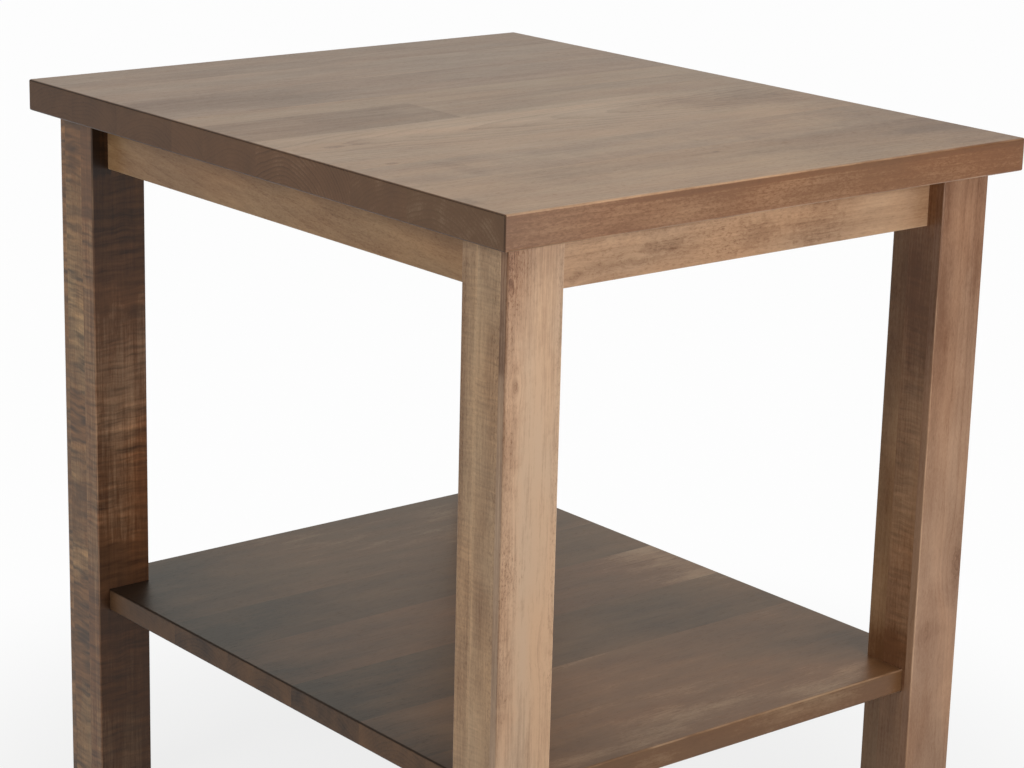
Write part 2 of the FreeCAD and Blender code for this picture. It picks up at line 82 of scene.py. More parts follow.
TOP_BOARDS = {
    "top_board_1": {
        "pith": (20, -60), "start": 0.7, "tone": 0.46, "fleck": 0.14, "end": 0.58,
        "tint": (1.0, 0.98, 0.93), "end_tint": (0.88, 0.985, 1.0),
        "washes": (
            ((150, -270, 610), (110, 40, 1), (120, 40, 2), 0.3, (1.01, 0.965, 0.86)),
            ((0, -308, 597), (254, 0.8, 12), (2, 1.2, 2), 0, (1.03, 0.95, 0.83)),
        ),
        "patches": (
            ((60, -227, 610), (190, 14, 1), (70, 16, 2), 2, 0.1),
            ((190, -250, 610), (60, 40, 1), (100, 30, 2), 1, 0.18),
            ((235, -250, 610), (15, 40, 1), (80, 50, 2), 1, 0.16),
            ((-249, -262, 610), (2, 6, 1), (8, 10, 2), 1, 0.24),
            ((5, -223, 610), (9, 0.5, 1), (10, 3, 2), 1, 0.16),
            ((0, -308, 597), (254, 0.6, 13), (2, 1.2, 2), 0, 0.5),
            ((-170, -308, 594), (40, 0.6, 10), (60, 1.2, 10), 0.3, -0.1),
            ((-20, -308, 594), (60, 0.6, 8), (80, 1.2, 8), 0.3, -0.08),
            ((60, -308, 607), (190, 0.6, 1.4), (60, 1.2, 1.4), 0.3, 0.2),
            # painted highlight along the eased front arris
            ((-140, -307.4, 609.4), (110, 0.7, 0.5), (70, 0.8, 0.6), 0.4, -0.4),
        ),
        "specks": (((0, -308, 597), (254, 0.6, 13), (2, 1.2, 2), 0, 0.18),),
        "knots": (((13, -222, 610), 1.6, 0.4),),
    },
    "top_board_2": {
        "pith": (-40, -90), "start": 2.1, "curl": 0.1, "curl_pitch": 16, "end": 0.55,
        "end_tint": (0.9, 0.98, 1.0),
        "washes": (((220, -170, 610), (60, 34, 1), (140, 10, 2), 0.3, (1.01, 0.975, 0.91)),),
        "patches": (
            ((-183, -170, 610), (3, 22, 1), (8, 10, 2), 2, 0.12),
            ((240, -170, 610), (20, 30, 1), (80, 30, 2), 1, 0.2),
        ),
    },
    "top_board_3": {
        "pith": (20, -34), "start": 3.9, "tone": 0.36, "tilt": (3.0, 1.0), "rings": 0.28,
        "end": 0.67,
        "washes": (((230, -100, 610), (50, 40, 1), (120, 40, 2), 0.3, (1.01, 0.975, 0.91)),),
        "patches": (
            ((-190, -76, 610), (16, 0.6, 1), (12, 2, 2), 2, 0.2),
            ((-196, -61, 610), (10, 0.8, 1), (16, 3, 2), 1, 0.14),
            ((176, -64, 610), (22, 12, 1), (54, 34, 2), 0.5, 0.26),
            ((250, -80, 610), (20, 50, 1), (70, 40, 2), 1, 0.22),
            ((118, -46, 610), (14, 3, 1), (36, 16, 2), 1, 0.12),
            ((-20, -34, 610), (90, 14, 1), (90, 20, 2), 0.3, -0.2),
        ),
        "knots": (
            ((-214, -60, 610), 4, 0.36),
            ((-214, -132, 610), 2.6, 0.4),
        ),
    },
    "top_board_4": {
        "pith": (-15, -80), "start": 5.2, "tone": 0.53, "end": 0.7,
        "patches": (
            ((-156, 22, 597), (97, 36, 20), (2, 2, 4), 0.5, 0.2),
            ((-128, 22, 610), (34, 30, 1), (22, 16, 2), 0.8, 0.07),
            ((-156, -17, 597), (97, 2, 20), (2, 2, 4), 0, -0.15),
            ((20, -16, 610), (70, 5, 1), (90, 6, 2), 0.3, -0.2),
        ),
    },
    "top_board_5": {
        "pith": (30, -50), "start": 6.6, "tone": 0.46, "end": 0.78,
        "patches": (((-156, 52, 597), (97, 4, 20), (2, 2, 4), 0.5, 0.24),),
    },
    "top_board_6": {
        "pith": (-10, -55), "start": 8.3, "tone": 0.62, "tint": (0.98, 1.0, 1.085), "end": 0.86,
        "patches": (((-200, 140, 610), (44, 18, 1), (130, 24, 2), 0.4, 0.22),),
    },
    "top_board_7": {
        "pith": (25, -75), "start": 9.4, "tone": 0.54, "tint": (0.98, 1.0, 1.085), "end": 1.0,
    },
    "top_board_8": {
        "pith": (-20, -65), "start": 11.0, "tone": 0.62, "tint": (0.98, 1.0, 1.085), "end": 0.96,
    },
}
ALL_TOP_BOARDS = {"blotch": 0.13}
SHELF_BOARDS = {
    "shelf_board_1": {"pith": (10, -60), "start": 20.3, "tone": 0.99, "tint": (0.92, 0.93, 0.84)},
    "shelf_board_2": {"pith": (-20, -55), "start": 21.6, "tone": 1.1, "tint": (0.9, 0.93, 0.86)},
    "shelf_board_3": {"pith": (15, -70), "start": 23.1, "tone": 1.5, "tint": (0.85, 0.92, 0.845)},
    "shelf_board_4": {
        "pith": (-25, -60), "start": 24.9, "tone": 1.24, "tint": (0.89, 0.91, 0.865),
    },
    "shelf_board_5": {"pith": (5, -50), "start": 26.2, "tone": 1.58, "tint": (0.85, 0.92, 0.845)},
    "shelf_board_6": {"pith": (30, -75), "start": 27.7, "tone": 1.3},
    "shelf_board_7": {"pith": (-10, -65), "start": 29.4, "tone": 1.24},
}
# Patches of the shelf: darker towards the left end, lighter at the middle of the back, darker in
# the front middle, painted shadow beside the back left and front right legs, and painted light at
# the right end
SHELF_PATCHES = (
    ((-226, 60, 184), (40, 300, 20), (150, 20, 4), 0.4, 0.52),
    ((-226, 60, 184), (6, 300, 20), (44, 20, 4), 0.3, 0.34),
    # painted shadow beside the back left leg
    ((-196, 236, 184.6), (30, 12, 1), (70, 34, 2), 0.3, 0.5),
    ((40, 180, 184.6), (70, 80, 1), (90, 60, 2), 0.15, -0.22),
    # painted light at the right end
    ((200, 40, 184.6), (10, 70, 1), (90, 90, 2), 0.15, -0.24),
    ((222, 40, 184.6), (4, 70, 1), (46, 60, 2), 0.15, -0.28),
    ((116, -110, 184.6), (24, 40, 1), (50, 60, 2), 0.3, 0.2),
    # painted shadow beside the front right leg
    ((190, -206, 184.6), (24, 14, 1), (50, 34, 2), 0.3, 0.34),
    ((80, -176, 184.6), (60, 6, 1), (80, 30, 2), 0.6, 0.14),
)
ALL_SHELF_BOARDS = {
    "tint": (0.84, 0.93, 0.90), "end": 0.1, "end_tint": (0.885, 0.95, 0.88), "blotch": 0.34,
    "patches": SHELF_PATCHES,
}
STAVES = {
    "front_left_leg_outer_stave": {
        "pith": (-60, 15), "start": 40.1, "tone": 0.18, "fibre": 0.72,
        "washes": (((-233, -290, 420), (3, 1, 180), (16, 1, 60), 0.6, (1.05, 0.985, 0.94)),),
        "patches": (
            ((-236, -286, 545), (0.5, 5, 48), (0.8, 1, 9), 1, 0.4),
            ((-236, -286, 400), (0.5, 5, 110), (0.8, 1, 40), 2, 0.16),
            ((-236, -290, 430), (2, 1, 160), (12, 1, 40), 2, 0.16),
            ((-198, -290, 420), (10, 1, 120), (14, 1, 70), 0.6, -0.12),
            ((-230, -290, 580), (10, 1, 6), (16, 1, 30), 2, 0.12),
            ((-211, -290, 550), (26, 1, 20), (2, 1, 60), 1, 0.15),
            ((-211, -290, 300), (26, 1, 90), (2, 1, 70), 1, -0.07),
        ),
        "specks": (
            ((-236, -290, 430), (3, 1, 160), (14, 1, 40), 2, 0.36),
            ((-228, -290, 350), (4, 1, 12), (14, 1, 20), 2, 0.34),
            ((-227, -290, 570), (8, 1, 10), (16, 1, 40), 2, 0.28),
            ((-187, -290, 430), (1, 1, 160), (8, 1, 60), 2, 0.36),
        ),
        "knots": (
            ((-227, -290, 485), 2.6, 0.34),
            ((-233, -290, 556), 2, 0.3),
            ((-194, -290, 292), 5, 0.1),
        ),
    },
    "front_left_leg_core_stave": {
        "pith": (40, 30), "start": 41.5, "tone": 0.24, "curl": 0.2, "curl_pitch": 2.6,
        "blotch": 0.34, "tint": (1.0, 0.985, 0.89),
        "patches": (
            ((-236, -258.6, 300), (0.6, 0.6, 290), (1, 1.6, 10), 0.6, -0.16),
            ((-236, -272, 515), (0.6, 3, 16), (1, 9, 18), 0.6, -0.14),
            ((-236, -272, 318), (0.6, 7, 16), (1, 6, 14), 1, 0.2),
            ((-236, -276, 440), (0.6, 4, 60), (1, 8, 60), 1, 0.06),
        ),
        "specks": (
            ((-236, -270, 430), (0.6, 14, 180), (1, 6, 60), 1, 0.2),
            ((-236, -281, 400), (0.6, 2, 180), (1, 5, 60), 1, 0.2),
        ),
    },
    "front_left_leg_inner_stave": {
        "pith": (-50, 20), "start": 42.9, "tone": 0.28, "curl": 0.18, "curl_pitch": 2.6,
        "blotch": 0.34, "tint": (1.0, 0.98, 0.88),
        "patches": (
            ((-236, -257.4, 300), (0.6, 0.8, 290), (1, 2.2, 10), 0.6, -0.26),
            ((-236, -242, 470), (0.6, 1.5, 100), (1, 7, 60), 1, 0.22),
        ),
        "specks": (((-236, -244, 430), (0.6, 12, 180), (1, 8, 60), 2, 0.28),),
    },
    "front_right_leg_outer_stave": {
        "pith": (-45, 10), "start": 44.2, "tone": 0.57, "tint": (1.0, 0.925, 0.89), "fibre": 0.18,
        "blotch": 0.22,
        "washes": (((211, -290, 215), (26, 0.6, 20), (2, 1, 70), 0.5, (1.0, 0.935, 0.93)),),
        "patches": (
            ((211, -290, 560), (26, 0.6, 34), (2, 1, 60), 0.6, 0.24),
            ((211, -290, 440), (26, 0.6, 26), (2, 1, 60), 0.6, 0.12),
            ((190, -290, 520), (2, 0.6, 90), (14, 1, 110), 0.6, 0.16),
            ((213, -290, 520), (4, 0.6, 80), (10, 1, 60), 0.6, -0.1),
            ((211, -290, 205), (26, 0.6, 25), (2, 1, 60), 0.6, -0.15),
            ((215, -290, 244), (14, 0.6, 4), (12, 1, 16), 2, 0.12),
            ((206, -290, 216), (12, 0.6, 2), (14, 1, 12), 2, 0.1),
            # painted shade at the top of the inner side, under the top
            ((187, -286, 530), (0.5, 8, 50), (0.8, 2, 80), 0.6, 0.28),
            ((187, -286, 260), (0.5, 5, 50), (0.8, 1, 60), 0, -0.2),
        ),
        "knots": (
            ((231, -290, 268), 7, 0.26),
            ((200, -290, 214), 7, 0.14),
        ),
    },
    "front_right_leg_core_stave": {
        "pith": (55, 20), "start": 45.6, "tone": 0.64, "fibre": 0.16, "curl": 0.12,
        "curl_pitch": 4.6, "tint": (1.04, 0.955, 0.84),
        "washes": (((187, -270, 220), (0.5, 16, 30), (1, 2, 50), 0.5, (0.99, 0.96, 0.93)),),
        "patches": (
            ((187, -280, 260), (0.5, 4, 50), (1, 8, 60), 0.6, -0.03),
            # painted shade at the top of the inner side, under the top
            ((187, -282, 562), (0.5, 9, 24), (1, 6, 26), 0.6, 0.12),
            ((187, -270, 520), (0.5, 14, 65), (1, 2, 90), 0.4, 0.15),
            # painted shadow where the shelf meets the leg
            ((187, -270, 190), (0.5, 14, 8), (1, 2, 26), 0.4, 0.34),
            ((187, -276, 470), (0.5, 10, 26), (1, 6, 50), 0.5, 0.12),
        ),
        "curls": (((187, -271, 340), (0.6, 9, 110), (1, 5, 60), 1, 0.22),),
    },
    "front_right_leg_inner_stave": {
        "pith": (40, -30), "start": 46.8, "tone": 0.66, "fibre": 0.18, "curl": 0.1,
        "tint": (1.0, 0.96, 0.84),
        "patches": (
            # painted shade at the top, under the top, and painted shadow at the shelf
            ((187, -250, 520), (0.5, 10, 65), (1, 2, 90), 0.4, 0.22),
            ((187, -250, 190), (0.5, 10, 8), (1, 2, 26), 0.4, 0.34),
        ),
    },
    "back_left_leg_outer_stave": {
        "pith": (50, 20), "start": 48.3, "tone": 0.9, "fibre": 0.2, "curl": 0.95,
        "curl_pitch": 6.2, "tint": (1.0, 0.98, 0.78),
    },
    "back_left_leg_core_stave": {
        "pith": (-60, 25), "start": 49.7, "tone": 0.81, "fibre": 0.2, "curl": 1.05,
        "curl_pitch": 6.2, "tint": (0.99, 0.985, 0.76),
        "patches": (
            ((-236, 270, 570), (0.6, 13, 10), (1, 1, 50), 1, 0.26),
            ((-236, 270, 420), (0.6, 13, 50), (1, 1, 40), 0.6, -0.08),
            ((-236, 270, 331), (0.6, 13, 18), (1, 1, 6), 1, 0.26),
            ((-236, 270, 260), (0.6, 13, 9), (1, 1, 8), 1, 0.2),
            ((-236, 270, 233), (0.6, 13, 10), (1, 1, 8), 1, 0.2),
            ((-236, 270, 140), (0.6, 13, 30), (1, 1, 30), 0.6, 0.36),
        ),
        "curls": (((-236, 270, 240), (0.6, 14, 110), (1, 2, 60), 1, 0.1),),
    },
    "back_left_leg_inner_stave": {
        "pith": (45, -20), "start": 51.2, "tone": 0.83, "fibre": 0.7, "curl": 0.58,
        "curl_pitch": 4.6, "tint": (0.98, 0.945, 0.76),
        "washes": (
            ((-211, 240.8, 300), (26, 0.8, 300), (2, 1, 2), 0, (1.01, 0.94, 0.87)),
            ((-211, 240.8, 545), (26, 0.8, 25), (2, 1, 60), 0.4, (1.0, 0.93, 0.79)),
            ((-187, 240.8, 240), (10, 0.8, 60), (18, 1, 60), 0.5, (1.1, 0.95, 0.8)),
        ),
        "patches": (
            ((-236, 249, 570), (0.6, 10, 10), (1, 1, 40), 0.6, 0.2),
            ((-236, 249, 520), (0.6, 10, 16), (1, 1, 5), 1, 0.24),
            ((-236, 249, 140), (0.6, 10, 30), (1, 1, 40), 0.6, 0.2),
            # painted shade at the top of the inner side, in the corner under the top and the apron
            ((-228, 240.8, 565), (9, 0.6, 24), (2, 1, 6), 1, 0.6),
            ((-211, 240.8, 520), (26, 0.6, 24), (2, 1, 90), 0.8, 0.88),
            ((-234, 240.8, 400), (3, 0.6, 200), (9, 1, 20), 0.6, 0.2),
            ((-216, 240.8, 352), (10, 0.6, 22), (18, 1, 30), 0.6, -0.2),
            ((-187, 240.8, 240), (4, 0.6, 70), (20, 1, 60), 0.6, 0.16),
            # painted shadow where the shelf meets the leg, and darker below it
            ((-211, 240.8, 180), (26, 0.6, 20), (2, 1, 44), 0.6, 0.58),
            ((-211, 240.8, 120), (26, 0.6, 30), (2, 1, 30), 0.6, 0.3),
        ),
        "curls": (
            ((-236, 249, 380), (0.6, 10, 200), (1, 2, 60), 1, 0.1),
            ((-211, 240.8, 250), (26, 0.6, 40), (2, 1, 90), 0.6, 0.16),
        ),
    },
    "back_right_leg_outer_stave": {"pith": (-55, 20), "start": 52.6, "tone": 0.56, "curl": 0.12},
    "back_right_leg_core_stave": {"pith": (50, 25), "start": 54.1, "tone": 0.6, "curl": 0.2},
    "back_right_leg_inner_stave": {"pith": (-40, 15), "start": 55.4, "tone": 0.56},
}
ALL_STAVES = {"grain": "Z", "fibre": 0.36}
APRON_BOARDS = {
    "front_apron": {
        "pith": (10, -80), "start": 60.2, "tone": 0.32, "blotch": 0.22,
        "tint": (1.0, 0.945, 0.865), "fibre": 0.34, "fleck": 0.12,
        "patches": (
            ((-110, -275, 577), (34, 1, 1), (24, 2, 7), 3, 0.2),
            ((-84, -275, 562), (10, 1, 1), (14, 2, 5), 2.4, 0.28),
            ((-128, -275, 553), (26, 1, 0.6), (20, 2, 4), 3, 0.16),
            ((6, -275, 560), (7, 1, 4), (18, 2, 10), 3, 0.24),
            ((66, -275, 562), (12, 1, 8), (22, 2, 10), 3, 0.2),
            # painted shadow at the right end, beside the leg
            ((190, -275, 564), (6, 1, 20), (40, 2, 4), 0.4, 0.26),
        ),
        "specks": (
            ((-100, -275, 564), (70, 1, 14), (40, 2, 10), 2, 0.22),
            ((30, -275, 562), (50, 1, 12), (40, 2, 10), 2, 0.2),
        ),
        "knots": (
            ((-167, -275, 550), 3.4, 0.22),
            ((-112, -275, 556), 2.6, 0.18),
        ),
    },
    "right_apron": {"grain": "Y", "pith": (20, -60), "start": 61.7},
    "back_apron": {"pith": (-10, -70), "start": 63.3},
    "left_apron": {
        "grain": "Y", "pith": (-70, 25), "start": 64.8, "tone": 0.49, "tilt": (2.0, 3.0),
        "rings": 0.14, "fibre": 0.26, "tint": (1.0, 0.95, 0.755),
        # painted shade, darker towards the back end
        "patches": (((-221, 90, 564), (1, 150, 20), (2, 60, 4), 0.5, 0.09),),
        "specks": (((-221, -80, 564), (1, 100, 18), (2, 60, 4), 1, 0.16),),
    },
}
BLOCKS = sorted(
    name for name in NODES if name.endswith(("corner_block", "_button_1", "_button_2")))
GLIDES = sorted(name for name in NODES if name.endswith("glide"))

# Bare maple of the blocks and buttons: start and pith move on from piece to piece
ALL_BLOCKS = {"tone": 0.3, "blotch": 0.08}
BLOCK_START, BLOCK_START_STEP = 80.0, 1.3
BLOCK_PITH, BLOCK_PITH_STEP, BLOCK_PITH_DEPTH = 20, 5, -50
BLOCK_ROUGHNESS = 0.6

# Seat of each screw's head in millimetres, and the way that its point looks
SIDES = [(across, along) for across in (-1, 1) for along in (-1, 1)]
BLOCK_SCREWS = [
    *(((158 * across, 244 * along, 565.6), (0, along, 0)) for across, along in SIDES),
    *(((190 * across, 212 * along, 565.6), (across, 0, 0)) for across, along in SIDES)]
BUTTON_SCREWS = [
    *(((98.8 * across, 240 * along, 566.6), (0, 0, 1)) for across, along in SIDES),
    *(((186 * across, 152.8 * along, 566.6), (0, 0, 1)) for across, along in SIDES)]

# Turn in degrees that brings each grain direction onto X, the length of the log
GRAIN_TURNS = {"X": (0.0, 0.0, 0.0), "Y": (0.0, 0.0, -90.0), "Z": (0.0, 90.0, 0.0)}
GRAIN_AXES = {"X": (1.0, 0.0, 0.0), "Y": (0.0, 1.0, 0.0), "Z": (0.0, 0.0, 1.0)}

# Kinds of sockets of the node groups, and the middle of what a noise gives
VECTOR, NUMBER, COLOUR = "NodeSocketVector", "NodeSocketFloat", "NodeSocketColor"
NOISE_MIDDLE = 0.5

# Noises of the maple: lumps per metre along and across the grain, detail and roughness
GRAIN_NOISES = {
    "bend": (1.7, 11.0, 2.0, 0.5),
    "ring": (30.0, 260.0, 2.0, 0.5),
    "streak": (7.0, 230.0, 3.0, 0.6),
    "hair": (26.0, 640.0, 3.0, 0.6),
    "fleck": (170.0, 1200.0, 1.0, 0.5),
    "speck": (330.0, 800.0, 3.0, 0.7),
    "sway": (24.0, 60.0, 1.0, 0.5),
    "curl": (16.0, 30.0, 1.0, 0.5),
    "cloud": (12.0, 40.0, 3.0, 0.55),
    "grit": (260.0, 700.0, 3.0, 0.7),
    "hue": (7.0, 26.0, 2.0, 0.5),
    "wear_and_sheen": (22.0, 90.0, 2.0, 0.5),
}
# Smooth steps of the maple: from and to which value, and from and to what if not 0 and 1
FLECK_STEP, SPECK_STEP, HUE_STEP = (0.60, 0.72), (0.46, 0.70), (0.3, 0.7)
END_STEP, SOAK_STEP, EDGE_STEP = (0.55, 0.95), (0.15, 0.35), (0.995, 0.90)
CURL_STEP, WEAR_AND_SHEEN_STEP = (0.34, 0.62, 0.5, 1.0), (0.38, 0.66, 0.25, 1.0)
# Rings: metres that the log's bends move them, raggedness in years, power that narrows the late
# wood, and darkness of the years
BEND_REACH, RING_RAG, LATE_POWER = 0.022, 0.5, 3.0
RING_LEAST, RING_SPREAD = 0.4, 0.8
# Fibres: share of the finest against the streaks, and the middle of both together
HAIR_SHARE, FIBRE_MIDDLE = 1.2, 1.1
# Curl: sway in metres, lumps to a wave and per metre across the grain, detail, roughness,
# strength and deepest dark
CURL_SWAY, CURL_LUMPS, CURL_ACROSS = 0.005, 1.25, 28.0
CURL_DETAIL, CURL_ROUGHNESS, CURL_GAIN, CURL_DARKEST = 2.5, 0.55, 3.6, 0.4
# Stain: strength of clouds, grit, soaked edges and rubbed edges with their painted highlight,
# what end grain adds to rings, blotches and marks, and how fast dark goes over to deep
CLOUD_GAIN, GRIT, SOAKED, RUBBED_AND_HIGHLIT = 4.0, 0.40, 0.9, -0.20
END_RINGS, END_BLOTCH, END_MARKS, DEEPENING = 1.6, 0.7, -0.8, 0.7
COOL, WARM, WHITE = (0.97, 1.01, 1.04, 1.0), (1.03, 0.99, 0.94, 1.0), (1.0, 1.0, 1.0, 1.0)
# Rubbed edges, paler from wear and from a painted highlight: their colour and its share
PALE_EDGE_HIGHLIGHT, PALE_HIGHLIGHT_SHARE = (1.15, 1.12, 1.10, 1.0), 0.3
# Lacquer: what hairs, end grain, flecks and edges add to its roughness, height of a fleck and
# of a ring against a hair, strength and depth in metres of its bumps, and its refraction
HAIR_ROUGH, END_ROUGH, FLECK_ROUGH, EDGE_ROUGH = 0.10, 0.14, 0.08, -0.05
FLECK_HEIGHT, RING_HEIGHT = -0.6, 0.1
LACQUER_BUMP, LACQUER_IOR = (0.12, 0.2 * MM), 1.38
# Stain patch: lumps per metre and detail of its ragged sides
PATCH_LUMPS, PATCH_DETAIL = (120.0, 120.0, 120.0), 3.0
# Knot: lumps per metre and strength of its ragged rim, how much less a way along the grain
# counts, steps of the drawn grain and of the dark heart in knot sizes, and its rings
KNOT_LUMPS, KNOT_RAG, KNOT_SHORTEN = (300.0, 300.0, 300.0), 0.8, -0.5
KNOT_DRAW_STEP, KNOT_HEART_STEP = (0.0, 4.0, -0.75, 0.0), (0.35, 1.5, 1.0, 0.0)
KNOT_RINGS, KNOT_RING_SPREAD, KNOT_RING_LEAST = 2.3, 0.9, 0.4
# Nylon and zinc: lumps per metre, detail and roughness of the mottle and of the fine marks, step
# and share of the colour where they are dull, roughness and what mottle and marks add to it,
# strength and depth in metres of the bumps, and 1 for metal
NYLON = {
    "mottle": ((90.0, 90.0, 500.0), 4.0, 0.65), "marks": ((1800.0, 1800.0, 1800.0), 2.0),
    "dull_step": (0.45, 0.75), "dull": (0.55, 0.55, 0.55),
    "roughness": (0.35, 0.25, 0.0), "bump": (0.2, 0.1 * MM), "metal": 0.0,
}
ZINC = {
    "mottle": ((260.0, 260.0, 260.0), 4.0, 0.6), "marks": ((1500.0, 1500.0, 6000.0), 2.0),
    "dull_step": (0.42, 0.72), "dull": (0.62, 0.60, 0.52),
    "roughness": (0.16, 0.30, 0.12), "bump": (0.15, 0.05 * MM), "metal": 1.0,
}

# Screw: sides of the head, steps of its dome and dome in head heights, point in core radii and
# its tip as a share of the core, recess in head radii and heights and its floor as a share of
# its mouth, size of the ridge, steps of a turn, and how far down the length the thread is counted
HEAD_SIDES, DOME_STEPS, DOME = 32, 6, 0.8
POINT, POINT_TIP = 3, 0.06
RECESS_LENGTH, RECESS_WIDTH, RECESS_HEIGHT, RECESS_FLOOR = 1.15, 0.24, 1.1, 0.5
RIDGE, THREAD_STEPS, THREADED = 0.6, 16, 0.95
SMOOTH_ANGLE, MERGE_DISTANCE = math.radians(40), 0.001 * MM
# Ways that a face can look, and how nearly it has to look there
UP, DOWN, LEVEL = 1, -1, 0.9

# Floor: size in metres, lumps per metre and detail of its specks, their share of the colour,
# and how far from the table's middle its lift to white starts and ends to grow
FLOOR_SIZE, FLOOR_SPECK, FLOOR_SHADE = 60.0, ((40.0, 40.0, 40.0), 3.0), 0.97
SHADOW_NEAR, SHADOW_FAR = 0.25, 0.75
# Far wall: the way to it, how nearly a ray has to look there, and the colour of its light
WALL_WAY = Vector((0.60, 0.74, 0.30)).normalized()
WALL_SPREAD = (0.3, 0.9)
WALL_COLOUR = (1.0, 0.975, 0.895, 1.0)
# Lamps: places, sizes and what they look at, in metres
SIDE_LAMP, SIDE_LAMP_SIZE = Vector((-2.475, -0.10, 1.48)), 1.2
HIGH_LAMP, HIGH_LAMP_SIZE = Vector((0.736, -1.547, 2.412)), 1.0
FRONT_LAMP, FRONT_LAMP_SIZE = Vector((0.044, -1.048, 0.64)), 0.5
LAMP_AIM = Vector((-0.13, -0.15, 0.42))
# Camera: place and far limit in metres, turn in degrees, sensor in millimetres
CAMERA_PLACE = (-1.37076, -1.67457, 0.99222)
CAMERA_TURN = (74.30654, -1.37541, -39.09618)
CAMERA_SENSOR, CAMERA_REACH = 36.0, 200.0


class EndTableFinish(bpy.types.PropertyGroup):
    """Stain and lacquer of the table"""

    stain_light: FloatVectorProperty(
        name="Light stain", description="Open, pale wood under the stain",
        subtype="COLOR", size=4, min=0, max=1, default=srgb(200, 166, 136))
    stain_dark: FloatVectorProperty(
        name="Dark stain", description="Wood that took more of the stain",
        subtype="COLOR", size=4, min=0, max=1, default=srgb(118, 82, 56))
    stain_deep: FloatVectorProperty(
        name="Deep stain", description="Knots, pores and the hearts of dark patches",
        subtype="COLOR", size=4, min=0, max=1, default=srgb(50, 33, 22))
    bare_maple: FloatVectorProperty(
        name="Bare maple", description="Blocks and buttons that got no stain",
        subtype="COLOR", size=4, min=0, max=1, default=srgb(214, 188, 152))
    bare_maple_dark: FloatVectorProperty(
        name="Bare maple, late wood", description="Darker lines of the unstained wood",
        subtype="COLOR", size=4, min=0, max=1, default=srgb(168, 132, 92))
    lacquer_roughness: FloatProperty(
        name="Lacquer roughness", description="Satin of the lacquer, 0 is a mirror",
        subtype="FACTOR", min=0, max=1, default=0.33)
    nylon: FloatVectorProperty(
        name="Nylon", description="Floor glides",
        subtype="COLOR", size=4, min=0, max=1, default=srgb(190, 186, 176))
    zinc: FloatVectorProperty(
        name="Zinc", description="Plating of the screws",
        subtype="COLOR", size=4, min=0, max=1, default=srgb(196, 198, 202))


class EndTableScrews(bpy.types.PropertyGroup):
    """Sizes of the round-headed screws"""

    head_radius: FloatProperty(
        name="Head radius", description="Round head", unit="LENGTH", min=0, default=4.5 * MM)
    head_height: FloatProperty(
        name="Head height", description="Round head, above its seat", unit="LENGTH", min=0,
        default=3 * MM)
    core_radius: FloatProperty(
        name="Core radius", description="Shank between the threads", unit="LENGTH", min=0,
        default=1.5 * MM)
    thread_radius: FloatProperty(
        name="Thread radius", description="Over the threads", unit="LENGTH", min=0, default=2 * MM)
    thread_pitch: FloatProperty(
        name="Thread pitch", description="From one turn to the next", unit="LENGTH", min=0,
        default=1.4 * MM)
    block_length: FloatProperty(
        name="Block screw", description="Length under the head", unit="LENGTH", min=0,
        default=26 * MM)
    button_length: FloatProperty(
        name="Button screw", description="Length under the head", unit="LENGTH", min=0,
        default=31 * MM)


class EndTableStage(bpy.types.PropertyGroup):
    """Floor, light and camera"""

    floor_colour: FloatVectorProperty(
        name="Floor", description="Pale floor that the table stands on",
        subtype="COLOR", size=4, min=0, max=1, default=(0.42, 0.42, 0.42, 1.0))
    floor_white: FloatProperty(
        name="Floor white", description="How far the seen floor is lifted to white",
        subtype="FACTOR", min=0, max=1, default=0.98)
    floor_near_white: FloatProperty(
        name="Floor white near the table", description="Lift to white where the shadows lie",
        subtype="FACTOR", min=0, max=1, default=0.82)
    side_level: FloatProperty(
        name="Side lamp", description="Power of the soft lamp on the left",
        unit="POWER", min=0, default=26.6)
    high_level: FloatProperty(
        name="High lamp", description="Power of the soft lamp high in front",
        unit="POWER", min=0, default=16.6)
    front_level: FloatProperty(
        name="Front lamp", description="Power of the smaller lamp close in front",
        unit="POWER", min=0, default=5.1)
    room_level: FloatProperty(
        name="Room light", description="Light from all round", min=0, default=0.06)
    glow_level: FloatProperty(
        name="Far wall", description="Brightness of the wall behind the table", min=0,
        default=0.86)
    lens: FloatProperty(
        name="Lens", description="Focal length on a 36 mm sensor", subtype="DISTANCE_CAMERA",
        min=1, default=97.86)


